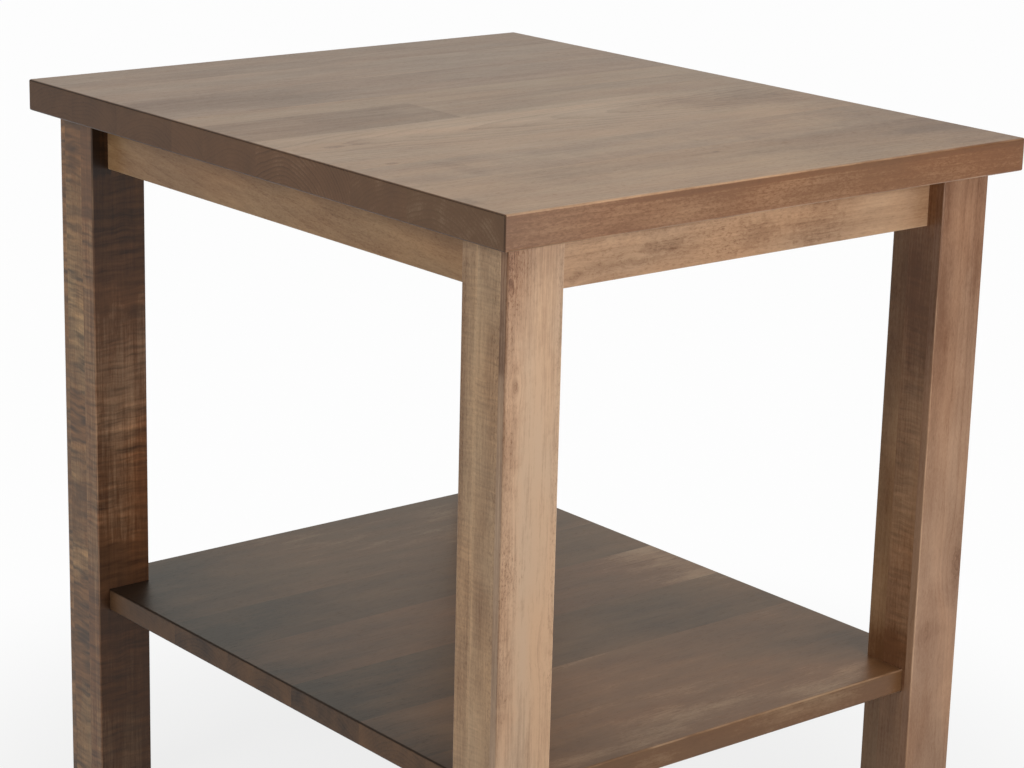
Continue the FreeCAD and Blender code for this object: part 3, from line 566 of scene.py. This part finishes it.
class Bench:
    """Adds nodes to one node tree and joins them by their sockets."""

    def __init__(self, tree):
        self.tree = tree

    def add(self, kind, inputs=None, **settings):
        """New node with these settings, its inputs fed by their names or numbers."""
        node = self.tree.nodes.new(kind)
        for name, value in settings.items():
            setattr(node, name, value)
        for key, value in (inputs or {}).items():
            self.feed(node.inputs[key], value)
        return node

    def feed(self, socket, value):
        """Joins an input to another node's output, or sets it to a value."""
        if isinstance(value, bpy.types.NodeSocket):
            self.tree.links.new(value, socket)
        else:
            socket.default_value = value

    def math(self, operation, *values, clamp=False):
        """Result of an operation on numbers."""
        inputs = dict(enumerate(values))
        node = self.add("ShaderNodeMath", inputs, operation=operation, use_clamp=clamp)
        return node.outputs[0]

    def vector(self, operation, *values):
        """Result of an operation on vectors, one number for a length or a dot product."""
        inputs = dict(enumerate(values))
        node = self.add("ShaderNodeVectorMath", inputs, operation=operation)
        one_number = operation in {"LENGTH", "DOT_PRODUCT"}
        return node.outputs["Value" if one_number else "Vector"]

    def scale(self, vector, factor):
        """Vector made longer or shorter by a factor."""
        inputs = {0: vector, "Scale": factor}
        return self.add("ShaderNodeVectorMath", inputs, operation="SCALE").outputs["Vector"]

    def noise(self, vector, lumps, detail=2.0, roughness=0.5, colour=False):
        """Noise with so many lumps per metre along each axis."""
        stretched = self.vector("MULTIPLY", vector, lumps)
        inputs = {"Vector": stretched, "Scale": 1.0, "Detail": detail, "Roughness": roughness}
        return self.add("ShaderNodeTexNoise", inputs).outputs["Color" if colour else "Fac"]

    def step(self, value, low, high, start=0.0, end=1.0):
        """Smooth step from start to end as the value goes from low to high."""
        inputs = {
            "Value": value, "From Min": low, "From Max": high, "To Min": start, "To Max": end}
        node = self.add("ShaderNodeMapRange", inputs, interpolation_type="SMOOTHSTEP")
        return node.outputs["Result"]

    def mix(self, factor, first, second, blend="MIX"):
        """Mix of two colours, which are the node's inputs 6 and 7 and its output 2."""
        inputs = {0: factor, 6: first, 7: second}
        node = self.add(
            "ShaderNodeMix", inputs, data_type="RGBA", blend_type=blend, clamp_factor=True)
        return node.outputs[2]


def new_material(name):
    """New material without nodes, and a bench on its node tree."""
    material = bpy.data.materials.new(name)
    material.use_nodes = True
    material.node_tree.nodes.clear()
    return material, Bench(material.node_tree)


def add_surface(bench, height, bump, sockets):
    """Principled surface with fine bumps, joined to the output of its material."""
    strength, depth = bump
    bumps = bench.add(
        "ShaderNodeBump", {"Height": height, "Strength": strength, "Distance": depth})
    shader = bench.add(
        "ShaderNodeBsdfPrincipled", {**sockets, "Normal": bumps.outputs["Normal"]})
    bench.add("ShaderNodeOutputMaterial", {"Surface": shader.outputs["BSDF"]})


def shared_group(name, build):
    """The named node group, built when the first material asks for it."""
    return bpy.data.node_groups.get(name) or build(name)


def new_group(name, inputs, outputs):
    """Node group with these sockets: a bench on it, its inputs and a call that sets an output."""
    tree = bpy.data.node_groups.new(name, "ShaderNodeTree")
    for in_out, sockets in (("INPUT", inputs), ("OUTPUT", outputs)):
        for socket, kind in sockets.items():
            tree.interface.new_socket(name=socket, in_out=in_out, socket_type=kind)
    bench = Bench(tree)
    given = bench.add("NodeGroupInput").outputs
    results = bench.add("NodeGroupOutput").inputs
    return bench, given, lambda output, value: bench.feed(results[output], value)


def build_maple(name):
    """Stained maple cut from a log that lies along X: growth rings about the pith, fibres,
    curl across the grain, uneven stain with patches of painted shade and light, end grain and
    rubbed edges that also carry a painted highlight."""
    bench, given, put = new_group(
        name,
        {"Vector": VECTOR, "Normal": VECTOR, "Grain": VECTOR,
         "Light": COLOUR, "Dark": COLOUR, "Deep": COLOUR, "Tint": COLOUR, "End tint": COLOUR,
         "Tone": NUMBER, "Ring pitch": NUMBER, "Rings": NUMBER, "Fibre": NUMBER,
         "Curl": NUMBER, "Curl pitch": NUMBER, "Blotch": NUMBER, "Fleck": NUMBER,
         "Specks": NUMBER, "End": NUMBER, "Mark": NUMBER, "Gloss": NUMBER},
        {"Color": COLOUR, "Roughness": NUMBER, "Height": NUMBER})
    place = given["Vector"]

    def noise(kind, colour=False):
        along, across, detail, roughness = GRAIN_NOISES[kind]
        return bench.noise(place, (along, across, across), detail, roughness, colour)

    def centred(value):
        return bench.math("SUBTRACT", value, NOISE_MIDDLE)

    # The log's own bends move the rings by a few millimetres
    bend = bench.vector("SUBTRACT", noise("bend", colour=True), (NOISE_MIDDLE,) * 3)
    bent = bench.vector("MULTIPLY_ADD", bend, (0.0, BEND_REACH, BEND_REACH), place)
    radius = bench.vector("LENGTH", bench.vector("MULTIPLY", bent, (0.0, 1.0, 1.0)))
    year = bench.math("DIVIDE", radius, given["Ring pitch"])
    year = bench.math("MULTIPLY_ADD", noise("ring"), RING_RAG, year)
    late = bench.math("POWER", bench.math("FRACT", year), LATE_POWER)
    each = bench.add(
        "ShaderNodeTexWhiteNoise", {"W": bench.math("FLOOR", year)}, noise_dimensions="1D")
    darkness = bench.math("MULTIPLY_ADD", each.outputs["Value"], RING_SPREAD, RING_LEAST)
    ring = bench.math("MULTIPLY", late, darkness)

    # Long fibres, short flecks and dark points
    hair = noise("hair")
    fibre = bench.math("ADD", noise("streak"), bench.math("MULTIPLY", hair, HAIR_SHARE))
    fibre = bench.math("SUBTRACT", fibre, FIBRE_MIDDLE)
    fleck = bench.step(noise("fleck"), *FLECK_STEP)
    speck = bench.step(noise("speck"), *SPECK_STEP)

    # Curl: an uneven ripple across the grain that comes and goes along the board
    sway = bench.math("MULTIPLY", noise("sway"), CURL_SWAY)
    sway = bench.add("ShaderNodeCombineXYZ", {"X": sway}).outputs[0]
    lumps = bench.math("DIVIDE", CURL_LUMPS, given["Curl pitch"])
    lumps = bench.add("ShaderNodeCombineXYZ", {"X": lumps, "Y": CURL_ACROSS, "Z": CURL_ACROSS})
    wave = bench.noise(
        bench.vector("ADD", bent, sway), lumps.outputs[0], CURL_DETAIL, CURL_ROUGHNESS)
    band = bench.math("MULTIPLY", bench.step(noise("curl"), *CURL_STEP), CURL_GAIN)
    band = bench.math("MULTIPLY", centred(wave), band)

    # End grain and its edges drink more stain, and other eased edges are rubbed paler, which is
    # partly wear and partly a painted highlight
    normal = given["Normal"]
    facing = bench.math("ABSOLUTE", bench.vector("DOT_PRODUCT", normal, given["Grain"]))
    end = bench.step(facing, *END_STEP)
    axes = bench.add("ShaderNodeSeparateXYZ", {"Vector": bench.vector("ABSOLUTE", normal)}).outputs
    flat = bench.math("MAXIMUM", bench.math("MAXIMUM", axes[0], axes[1]), axes[2])
    edge = bench.step(flat, *EDGE_STEP)
    soaked = bench.math("MULTIPLY", edge, bench.step(facing, *SOAK_STEP))
    worn_and_sheen = bench.step(noise("wear_and_sheen"), *WEAR_AND_SHEEN_STEP)
    rubbed_and_highlit = bench.math("MULTIPLY", bench.math("SUBTRACT", edge, soaked), worn_and_sheen)

    def with_end(amount, share):
        """Amount that grows by a share of itself on end grain."""
        return bench.math("MULTIPLY", amount, bench.math("MULTIPLY_ADD", end, share, 1.0))

    # Depth of the stain, from light over dark to deep, with the painted shade and light of some
    # marks in it
    cloud = bench.math("MULTIPLY", centred(noise("cloud")), CLOUD_GAIN)
    shade = given["Tone"]
    for amount, mark in (
        (with_end(given["Rings"], END_RINGS), ring), (given["Fibre"], fibre),
        (with_end(given["Blotch"], END_BLOTCH), cloud), (given["Fleck"], fleck),
        (given["Specks"], speck), (GRIT, centred(noise("grit"))), (given["End"], end),
        (SOAKED, soaked), (RUBBED_AND_HIGHLIT, rubbed_and_highlit),
    ):
        shade = bench.math("MULTIPLY_ADD", amount, mark, shade)
    shade = bench.math("ADD", shade, with_end(given["Mark"], END_MARKS))
    stain = bench.mix(shade, given["Light"], given["Dark"])
    deep = bench.math("MULTIPLY", bench.math("SUBTRACT", shade, 1.0), DEEPENING, clamp=True)
    stain = bench.mix(deep, stain, given["Deep"])

    # Tint, curl and small changes of hue lie over the stain
    tint = bench.mix(end, given["Tint"], given["End tint"])
    curl = bench.math("SUBTRACT", 1.0, bench.math("MULTIPLY", given["Curl"], band))
    curl = bench.math("MAXIMUM", curl, CURL_DARKEST)
    curl = bench.add("ShaderNodeCombineColor", {0: curl, 1: curl, 2: curl}).outputs[0]
    warmth = bench.mix(bench.step(noise("hue"), *HUE_STEP), COOL, WARM)
    warmth = bench.mix(end, warmth, WHITE)
    for layer in (tint, curl, warmth):
        stain = bench.mix(1.0, stain, layer, "MULTIPLY")
    # Rubbed edges turn paler, partly wear and partly a painted highlight along the arrises
    pale = bench.mix(1.0, given["Light"], PALE_EDGE_HIGHLIGHT, "MULTIPLY")
    put("Color", bench.mix(bench.math("MULTIPLY", rubbed_and_highlit, PALE_HIGHLIGHT_SHARE), stain, pale))

    rough = given["Gloss"]
    for mark, amount in (
        (hair, HAIR_ROUGH), (end, END_ROUGH), (fleck, FLECK_ROUGH), (edge, EDGE_ROUGH),
    ):
        rough = bench.math("MULTIPLY_ADD", mark, amount, rough)
    put("Roughness", rough)
    height = bench.math("MULTIPLY_ADD", fleck, FLECK_HEIGHT, hair)
    proud = bench.math("MULTIPLY_ADD", end, -RING_HEIGHT, RING_HEIGHT)
    put("Height", bench.math("ADD", bench.math("MULTIPLY", ring, proud), height))
    return bench.tree


def build_patch(name):
    """Mask of a box with soft, ragged sides, for a place that took more or less stain, and for
    painted shade and painted light.
    """
    bench, given, put = new_group(
        name,
        {"Vector": VECTOR, "Centre": VECTOR, "Reach": VECTOR, "Softness": VECTOR, "Rag": NUMBER},
        {"Mask": NUMBER})
    rag = bench.noise(given["Vector"], PATCH_LUMPS, PATCH_DETAIL, colour=True)
    rag = bench.scale(bench.vector("SUBTRACT", rag, (NOISE_MIDDLE,) * 3), given["Rag"])
    place = bench.vector("MULTIPLY_ADD", rag, given["Softness"], given["Vector"])
    from_centre = bench.vector("ABSOLUTE", bench.vector("SUBTRACT", place, given["Centre"]))
    outside = bench.vector("SUBTRACT", from_centre, given["Reach"])
    outside = bench.vector("MAXIMUM", outside, (0.0, 0.0, 0.0))
    outside = bench.vector("LENGTH", bench.vector("DIVIDE", outside, given["Softness"]))
    put("Mask", bench.step(outside, 0.0, 1.0, 1.0, 0.0))
    return bench.tree


def build_knot(name):
    """Knot: the grain is drawn round its middle, which is dark and ringed."""
    bench, given, put = new_group(
        name,
        {"Vector": VECTOR, "Centre": VECTOR, "Grain": VECTOR, "Size": NUMBER},
        {"Vector": VECTOR, "Mask": NUMBER})
    rag = bench.math("SUBTRACT", bench.noise(given["Vector"], KNOT_LUMPS), NOISE_MIDDLE)
    off = bench.vector("SUBTRACT", given["Vector"], given["Centre"])
    shorten = bench.vector("MULTIPLY_ADD", given["Grain"], (KNOT_SHORTEN,) * 3, (1.0, 1.0, 1.0))
    reach = bench.vector("LENGTH", bench.vector("MULTIPLY", off, shorten))
    reach = bench.math("DIVIDE", reach, given["Size"])
    reach = bench.math("MULTIPLY_ADD", rag, KNOT_RAG, reach)
    drawn = bench.scale(off, bench.step(reach, *KNOT_DRAW_STEP))
    put("Vector", bench.vector("ADD", given["Vector"], drawn))
    rings = bench.math("FRACT", bench.math("MULTIPLY", reach, KNOT_RINGS))
    rings = bench.math("MULTIPLY_ADD", rings, KNOT_RING_SPREAD, KNOT_RING_LEAST)
    put("Mask", bench.math("MULTIPLY", bench.step(reach, *KNOT_HEART_STEP), rings))
    return bench.tree


def metres(point):
    """A point in metres that is given in millimetres."""
    return tuple(number * MM for number in point)


def stain_and_shade_mask(bench, place, centre, reach, softness, rag):
    """Mask of one patch, its sizes given in millimetres; most patches are stain, some are
    painted shade and painted light.
    """
    inputs = {"Vector": place, "Centre": metres(centre), "Reach": metres(reach),
              "Softness": metres(softness), "Rag": rag}
    group = shared_group("Stain and shade patch", build_patch)
    return bench.add("ShaderNodeGroup", inputs, node_tree=group).outputs["Mask"]


def wood_material(node, board, light, dark, deep, gloss):
    """Material of one board, cut from its own place in the log."""
    board = {**PLAIN_BOARD, **board}
    grain = GRAIN_AXES[board["grain"]]
    material, bench = new_material(f"maple_{node}")
    coordinates = bench.add("ShaderNodeTexCoord").outputs

    place = coordinates["Object"]
    marks = {"patches": 0.0, "specks": 0.0, "curls": board["curl"]}
    for centre, size, amount in board["knots"]:
        inputs = {"Vector": place, "Centre": metres(centre), "Size": size * MM, "Grain": grain}
        knot = bench.add(
            "ShaderNodeGroup", inputs, node_tree=shared_group("Knot", build_knot)).outputs
        place = knot["Vector"]
        marks["patches"] = bench.math("MULTIPLY_ADD", knot["Mask"], amount, marks["patches"])
    for kind in marks:
        for *patch, amount in board[kind]:
            mask = stain_and_shade_mask(bench, coordinates["Object"], *patch)
            marks[kind] = bench.math("MULTIPLY_ADD", mask, amount, marks[kind])
    tint = (*board["tint"], 1.0)
    for *patch, colour in board["washes"]:
        mask = stain_and_shade_mask(bench, coordinates["Object"], *patch)
        tint = bench.mix(mask, tint, (*colour, 1.0))

    low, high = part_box(node)
    tilt = Euler((0.0, *map(math.radians, board["tilt"]))).to_matrix()
    turn = tilt @ Euler(map(math.radians, GRAIN_TURNS[board["grain"]])).to_matrix()
    heart = Vector((board["start"], *metres(-offset for offset in board["pith"])))
    mapping = bench.add("ShaderNodeMapping", {
        "Vector": place, "Rotation": turn.to_euler(),
        "Location": heart - turn @ ((low + high) / 2)})
    maple = bench.add("ShaderNodeGroup", {
        "Vector": mapping.outputs["Vector"], "Normal": coordinates["Normal"], "Grain": grain,
        "Light": light, "Dark": dark, "Deep": deep,
        "Tint": tint, "End tint": (*board["end_tint"], 1.0), "Tone": board["tone"],
        "Ring pitch": board["pitch"] * MM, "Rings": board["rings"], "Fibre": board["fibre"],
        "Curl": marks["curls"], "Curl pitch": board["curl_pitch"] * MM,
        "Blotch": board["blotch"], "Fleck": board["fleck"], "Specks": marks["specks"],
        "End": board["end"], "Mark": marks["patches"], "Gloss": gloss,
    }, node_tree=shared_group("Stained maple", build_maple)).outputs
    add_surface(bench, maple["Height"], LACQUER_BUMP, {
        "Base Color": maple["Color"], "Roughness": maple["Roughness"], "IOR": LACQUER_IOR})
    return material


def paint(node, material):
    """Puts one material on a CAD node."""
    slots = NODES[node].data.materials
    slots.clear()
    slots.append(material)


def stain_boards(scene, boards, shared):
    """Stains and lacquers each board of a group, which shares what a board doesn't say."""
    finish = scene.end_table_finish
    for node, board in boards.items():
        paint(node, wood_material(
            node, {**shared, **board}, finish.stain_light, finish.stain_dark, finish.stain_deep,
            finish.lacquer_roughness))


class ENDTABLE_OT_stain_top(bpy.types.Operator):
    """Stain the boards of the top, with a painted highlight along the front arris"""

    bl_idname = "endtable.stain_top"
    bl_label = "Stain top"

    def execute(self, context):
        stain_boards(context.scene, TOP_BOARDS, ALL_TOP_BOARDS)
        return {"FINISHED"}


class ENDTABLE_OT_stain_shelf(bpy.types.Operator):
    """Stain the boards of the shelf, with painted shadow by two legs and painted light at its
    right end
    """

    bl_idname = "endtable.stain_shelf"
    bl_label = "Stain shelf"

    def execute(self, context):
        stain_boards(context.scene, SHELF_BOARDS, ALL_SHELF_BOARDS)
        return {"FINISHED"}


class ENDTABLE_OT_stain_legs(bpy.types.Operator):
    """Stain the three staves of every leg, with painted shade on the inner sides of two legs"""

    bl_idname = "endtable.stain_legs"
    bl_label = "Stain legs"

    def execute(self, context):
        stain_boards(context.scene, STAVES, ALL_STAVES)
        return {"FINISHED"}


class ENDTABLE_OT_stain_aprons(bpy.types.Operator):
    """Stain the four aprons, with some painted shade on the front and left ones"""

    bl_idname = "endtable.stain_aprons"
    bl_label = "Stain aprons"

    def execute(self, context):
        stain_boards(context.scene, APRON_BOARDS, {})
        return {"FINISHED"}


class ENDTABLE_OT_finish_blocks(bpy.types.Operator):
    """Leave the corner blocks and buttons as bare, sanded maple"""

    bl_idname = "endtable.finish_blocks"
    bl_label = "Finish blocks and buttons"

    def execute(self, context):
        finish = context.scene.end_table_finish
        for index, node in enumerate(BLOCKS):
            board = {
                **ALL_BLOCKS, "grain": "Y" if index % 2 else "X",
                "start": BLOCK_START + BLOCK_START_STEP * index,
                "pith": (BLOCK_PITH + BLOCK_PITH_STEP * index, BLOCK_PITH_DEPTH)}
            paint(node, wood_material(
                node, board, finish.bare_maple, finish.bare_maple_dark, finish.stain_dark,
                BLOCK_ROUGHNESS))
        return {"FINISHED"}


def mottled_material(name, colour, kind):
    """Nylon or zinc that a mottle makes duller, with fine marks of its making."""
    material, bench = new_material(name)
    place = bench.add("ShaderNodeTexCoord").outputs["Object"]
    mottle, marks = (bench.noise(place, *kind[layer]) for layer in ("mottle", "marks"))
    dull = (*(share * part for share, part in zip(kind["dull"], colour)), 1.0)
    rough, mottle_rough, marks_rough = kind["roughness"]
    rough = bench.math("MULTIPLY_ADD", mottle, mottle_rough, rough)
    add_surface(bench, marks, kind["bump"], {
        "Base Color": bench.mix(bench.step(mottle, *kind["dull_step"]), colour, dull),
        "Roughness": bench.math("MULTIPLY_ADD", marks, marks_rough, rough),
        "Metallic": kind["metal"]})
    return material


class ENDTABLE_OT_finish_glides(bpy.types.Operator):
    """Give the floor glides their moulded nylon"""

    bl_idname = "endtable.finish_glides"
    bl_label = "Finish floor glides"

    def execute(self, context):
        nylon = tuple(context.scene.end_table_finish.nylon)
        material = mottled_material("glide_nylon", nylon, NYLON)
        for node in GLIDES:
            paint(node, material)
        return {"FINISHED"}


def select_faces(piece, way):
    """Selects, in edit mode, only the faces of a piece that look up or down."""
    bpy.ops.object.mode_set(mode="EDIT")
    bpy.ops.mesh.select_mode(type="FACE")
    bpy.ops.mesh.select_all(action="DESELECT")
    bpy.ops.object.mode_set(mode="OBJECT")
    for face in piece.data.polygons:
        face.select = way * face.normal.z > LEVEL
    bpy.ops.object.mode_set(mode="EDIT")


def apply_modifier(piece, kind, **settings):
    """Adds one modifier to a piece and applies it."""
    modifier = piece.modifiers.new(kind.title(), kind)
    for name, value in settings.items():
        setattr(modifier, name, value)
    bpy.context.view_layer.objects.active = piece
    bpy.ops.object.modifier_apply(modifier=modifier.name)


def join(pieces):
    """Joins pieces into the first of them."""
    bpy.ops.object.select_all(action="DESELECT")
    for piece in pieces:
        piece.select_set(True)
    bpy.context.view_layer.objects.active = pieces[0]
    bpy.ops.object.join()
    return pieces[0]


def model_head_and_core(sizes, length, point):
    """Domed head on its seat at the origin, with the core and its point below it."""
    bpy.ops.object.select_all(action="DESELECT")
    bpy.ops.mesh.primitive_cylinder_add(
        vertices=HEAD_SIDES, radius=sizes.head_radius, depth=sizes.head_height,
        location=(0, 0, sizes.head_height / 2))
    screw = bpy.context.object
    bpy.ops.object.transform_apply()
    select_faces(screw, UP)
    bpy.ops.mesh.region_to_loop()
    bpy.ops.mesh.bevel(offset=DOME * sizes.head_height, segments=DOME_STEPS, profile=0.5)
    select_faces(screw, DOWN)
    bpy.ops.mesh.inset(thickness=sizes.head_radius - sizes.core_radius)
    for depth in (length - point, point):
        bpy.ops.mesh.extrude_region_move(TRANSFORM_OT_translate={"value": (0, 0, -depth)})
    bpy.ops.transform.resize(value=(POINT_TIP, POINT_TIP, 1.0))
    bpy.ops.object.mode_set(mode="OBJECT")
    return screw


def cut_recess(screw, sizes):
    """Cuts two crossed wedges, narrower at the bottom, from the top of the head."""
    for turn in (0.0, math.pi / 2):
        bpy.ops.object.select_all(action="DESELECT")
        bpy.ops.mesh.primitive_cube_add(
            size=1.0, location=(0, 0, sizes.head_height), rotation=(0, 0, turn),
            scale=(RECESS_LENGTH * sizes.head_radius, RECESS_WIDTH * sizes.head_radius,
                   RECESS_HEIGHT * sizes.head_height))
        wedge = bpy.context.object
        bpy.ops.object.transform_apply()
        select_faces(wedge, DOWN)
        bpy.ops.transform.resize(value=(RECESS_FLOOR, RECESS_FLOOR, 1.0))
        bpy.ops.object.mode_set(mode="OBJECT")
        apply_modifier(screw, "BOOLEAN", operation="DIFFERENCE", object=wedge, solver="EXACT")
        bpy.data.objects.remove(wedge)


def wind_thread(sizes, length, point):
    """Three-cornered ridge wound up the core from the start of the point."""
    bpy.ops.object.select_all(action="DESELECT")
    ridge = RIDGE * (2 * (sizes.thread_radius - sizes.core_radius))
    bpy.ops.mesh.primitive_circle_add(
        vertices=3, radius=ridge, location=(sizes.thread_radius - ridge, 0, point - length),
        rotation=(math.pi / 2, math.pi / 2, 0))
    thread = bpy.context.object
    bpy.ops.object.transform_apply()
    turns = int((THREADED * length - point) / sizes.thread_pitch)
    apply_modifier(
        thread, "SCREW", screw_offset=sizes.thread_pitch, iterations=turns, steps=THREAD_STEPS,
        render_steps=THREAD_STEPS)
    bpy.ops.object.mode_set(mode="EDIT")
    bpy.ops.mesh.select_all(action="SELECT")
    bpy.ops.mesh.remove_doubles(threshold=MERGE_DISTANCE)
    bpy.ops.mesh.fill_holes(sides=3)
    bpy.ops.mesh.select_all(action="SELECT")
    bpy.ops.mesh.normals_make_consistent(inside=False)
    bpy.ops.object.mode_set(mode="OBJECT")
    return thread


def model_screw(sizes, length):
    """Round-headed wood screw that points down from its seat at the origin."""
    point = POINT * sizes.core_radius
    screw = model_head_and_core(sizes, length, point)
    cut_recess(screw, sizes)
    screw = join([screw, wind_thread(sizes, length, point)])
    bpy.ops.object.shade_smooth_by_angle(angle=SMOOTH_ANGLE)
    return screw


class ENDTABLE_OT_fit_screws(bpy.types.Operator):
    """Fit the round-headed screws of the corner blocks and of the buttons"""

    bl_idname = "endtable.fit_screws"
    bl_label = "Fit screws"

    def execute(self, context):
        sizes = context.scene.end_table_screws
        zinc = tuple(context.scene.end_table_finish.zinc)
        material = mottled_material("zinc_steel", zinc, ZINC)
        for node, length, places in (
            ("corner_block_screws", sizes.block_length, BLOCK_SCREWS),
            ("button_screws", sizes.button_length, BUTTON_SCREWS),
        ):
            first = model_screw(sizes, length)
            screws = []
            for seat, way in places:
                screw = bpy.data.objects.new("screw", first.data.copy())
                context.collection.objects.link(screw)
                turn = Vector(way).to_track_quat("-Z", "Y").to_matrix().to_4x4()
                screw.data.transform(Matrix.Translation(metres(seat)) @ turn)
                screws.append(screw)
            bpy.data.objects.remove(first)
            row = join(screws)
            row.name = f"round_headed_{node}"
            row.data.materials.append(material)
            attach(row, "root")
            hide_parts(node)
        return {"FINISHED"}


def floor_material(stage):
    """Matt floor that a camera or a mirror sees nearly white, a little less near the table."""
    material, bench = new_material("pale_floor")
    place = bench.add("ShaderNodeTexCoord").outputs["Object"]
    speck = bench.noise(place, *FLOOR_SPECK)
    shade = (*(FLOOR_SHADE * part for part in stage.floor_colour[:3]), 1.0)
    matt = bench.add("ShaderNodeBsdfDiffuse", {
        "Color": bench.mix(speck, tuple(stage.floor_colour), shade)})
    white = bench.add("ShaderNodeEmission", {"Color": WHITE, "Strength": 1.0})
    path = bench.add("ShaderNodeLightPath").outputs
    seen = bench.math("MAXIMUM", path["Is Camera Ray"], path["Is Glossy Ray"])
    seen = bench.math("MAXIMUM", seen, path["Is Transmission Ray"])
    away = bench.vector("LENGTH", place)
    lift = bench.step(
        away, SHADOW_NEAR, SHADOW_FAR, stage.floor_near_white, stage.floor_white)
    both = bench.add("ShaderNodeMixShader", {
        0: bench.math("MULTIPLY", seen, lift), 1: matt.outputs["BSDF"],
        2: white.outputs["Emission"]})
    bench.add("ShaderNodeOutputMaterial", {"Surface": both.outputs["Shader"]})
    return material


def light_room(stage):
    """World with a faint light from all round and a bright wall behind the table."""
    world = bpy.data.worlds.new("studio")
    world.use_nodes = True
    world.node_tree.nodes.clear()
    bench = Bench(world.node_tree)
    way = bench.add("ShaderNodeTexCoord").outputs["Generated"]
    far = bench.vector("DOT_PRODUCT", way, WALL_WAY)
    level = bench.step(far, *WALL_SPREAD, stage.room_level, stage.glow_level)
    sky = bench.add("ShaderNodeBackground", {"Color": WALL_COLOUR, "Strength": level})
    bench.add("ShaderNodeOutputWorld", {"Surface": sky.outputs["Background"]})
    return world


class ENDTABLE_OT_set_stage(bpy.types.Operator):
    """Set the floor, the lamps and the camera"""

    bl_idname = "endtable.set_stage"
    bl_label = "Set stage"

    def execute(self, context):
        scene, stage = context.scene, context.scene.end_table_stage
        scene.view_settings.view_transform = "Standard"

        bpy.ops.object.select_all(action="DESELECT")
        bpy.ops.mesh.primitive_plane_add(size=FLOOR_SIZE)
        floor = context.object
        floor.name = "floor"
        floor.data.materials.append(floor_material(stage))
        scene.world = light_room(stage)

        for name, place, size, level in (
            ("side_lamp", SIDE_LAMP, SIDE_LAMP_SIZE, stage.side_level),
            ("high_lamp", HIGH_LAMP, HIGH_LAMP_SIZE, stage.high_level),
            ("front_lamp", FRONT_LAMP, FRONT_LAMP_SIZE, stage.front_level),
        ):
            bpy.ops.object.light_add(type="AREA", location=place)
            lamp = context.object
            lamp.name = name
            lamp.rotation_euler = (LAMP_AIM - place).to_track_quat("-Z", "Y").to_euler()
            lamp.data.size = size
            lamp.data.energy = level
            lamp.visible_camera = False

        bpy.ops.object.camera_add(
            location=CAMERA_PLACE, rotation=[math.radians(turn) for turn in CAMERA_TURN])
        camera = context.object
        camera.name = "camera"
        camera.data.sensor_width = CAMERA_SENSOR
        camera.data.lens = stage.lens
        camera.data.clip_end = CAMERA_REACH
        scene.camera = camera
        return {"FINISHED"}


class ENDTABLE_PT_panel(bpy.types.Panel):
    """Lists the settings of the table and the steps that finish it"""

    bl_idname = "ENDTABLE_PT_panel"
    bl_label = "End Table"
    bl_space_type = "VIEW_3D"
    bl_region_type = "UI"
    bl_category = "End Table"

    def draw(self, context):
        scene = context.scene
        for group in (scene.end_table_finish, scene.end_table_screws, scene.end_table_stage):
            for name in group.bl_rna.properties.keys():
                if name not in {"rna_type", "name"}:
                    self.layout.prop(group, name)
        for step in STEPS:
            self.layout.operator(step.bl_idname)


STEPS = (
    ENDTABLE_OT_stain_top,
    ENDTABLE_OT_stain_shelf,
    ENDTABLE_OT_stain_legs,
    ENDTABLE_OT_stain_aprons,
    ENDTABLE_OT_finish_blocks,
    ENDTABLE_OT_finish_glides,
    ENDTABLE_OT_fit_screws,
    ENDTABLE_OT_set_stage,
)
CLASSES = (EndTableFinish, EndTableScrews, EndTableStage, *STEPS, ENDTABLE_PT_panel)


def register():
    """Makes the settings, steps and panel known to Blender."""
    for cls in CLASSES:
        bpy.utils.register_class(cls)
    bpy.types.Scene.end_table_finish = PointerProperty(type=EndTableFinish)
    bpy.types.Scene.end_table_screws = PointerProperty(type=EndTableScrews)
    bpy.types.Scene.end_table_stage = PointerProperty(type=EndTableStage)


def unregister():
    """Takes the settings, steps and panel out of Blender again."""
    del bpy.types.Scene.end_table_stage
    del bpy.types.Scene.end_table_screws
    del bpy.types.Scene.end_table_finish
    for cls in reversed(CLASSES):
        bpy.utils.unregister_class(cls)


def main():
    """Finishes the whole table."""
    register()
    bpy.ops.endtable.stain_top()
    bpy.ops.endtable.stain_shelf()
    bpy.ops.endtable.stain_legs()
    bpy.ops.endtable.stain_aprons()
    bpy.ops.endtable.finish_blocks()
    bpy.ops.endtable.finish_glides()
    bpy.ops.endtable.fit_screws()
    bpy.ops.endtable.set_stage()


if __name__ == "__main__":
    main()
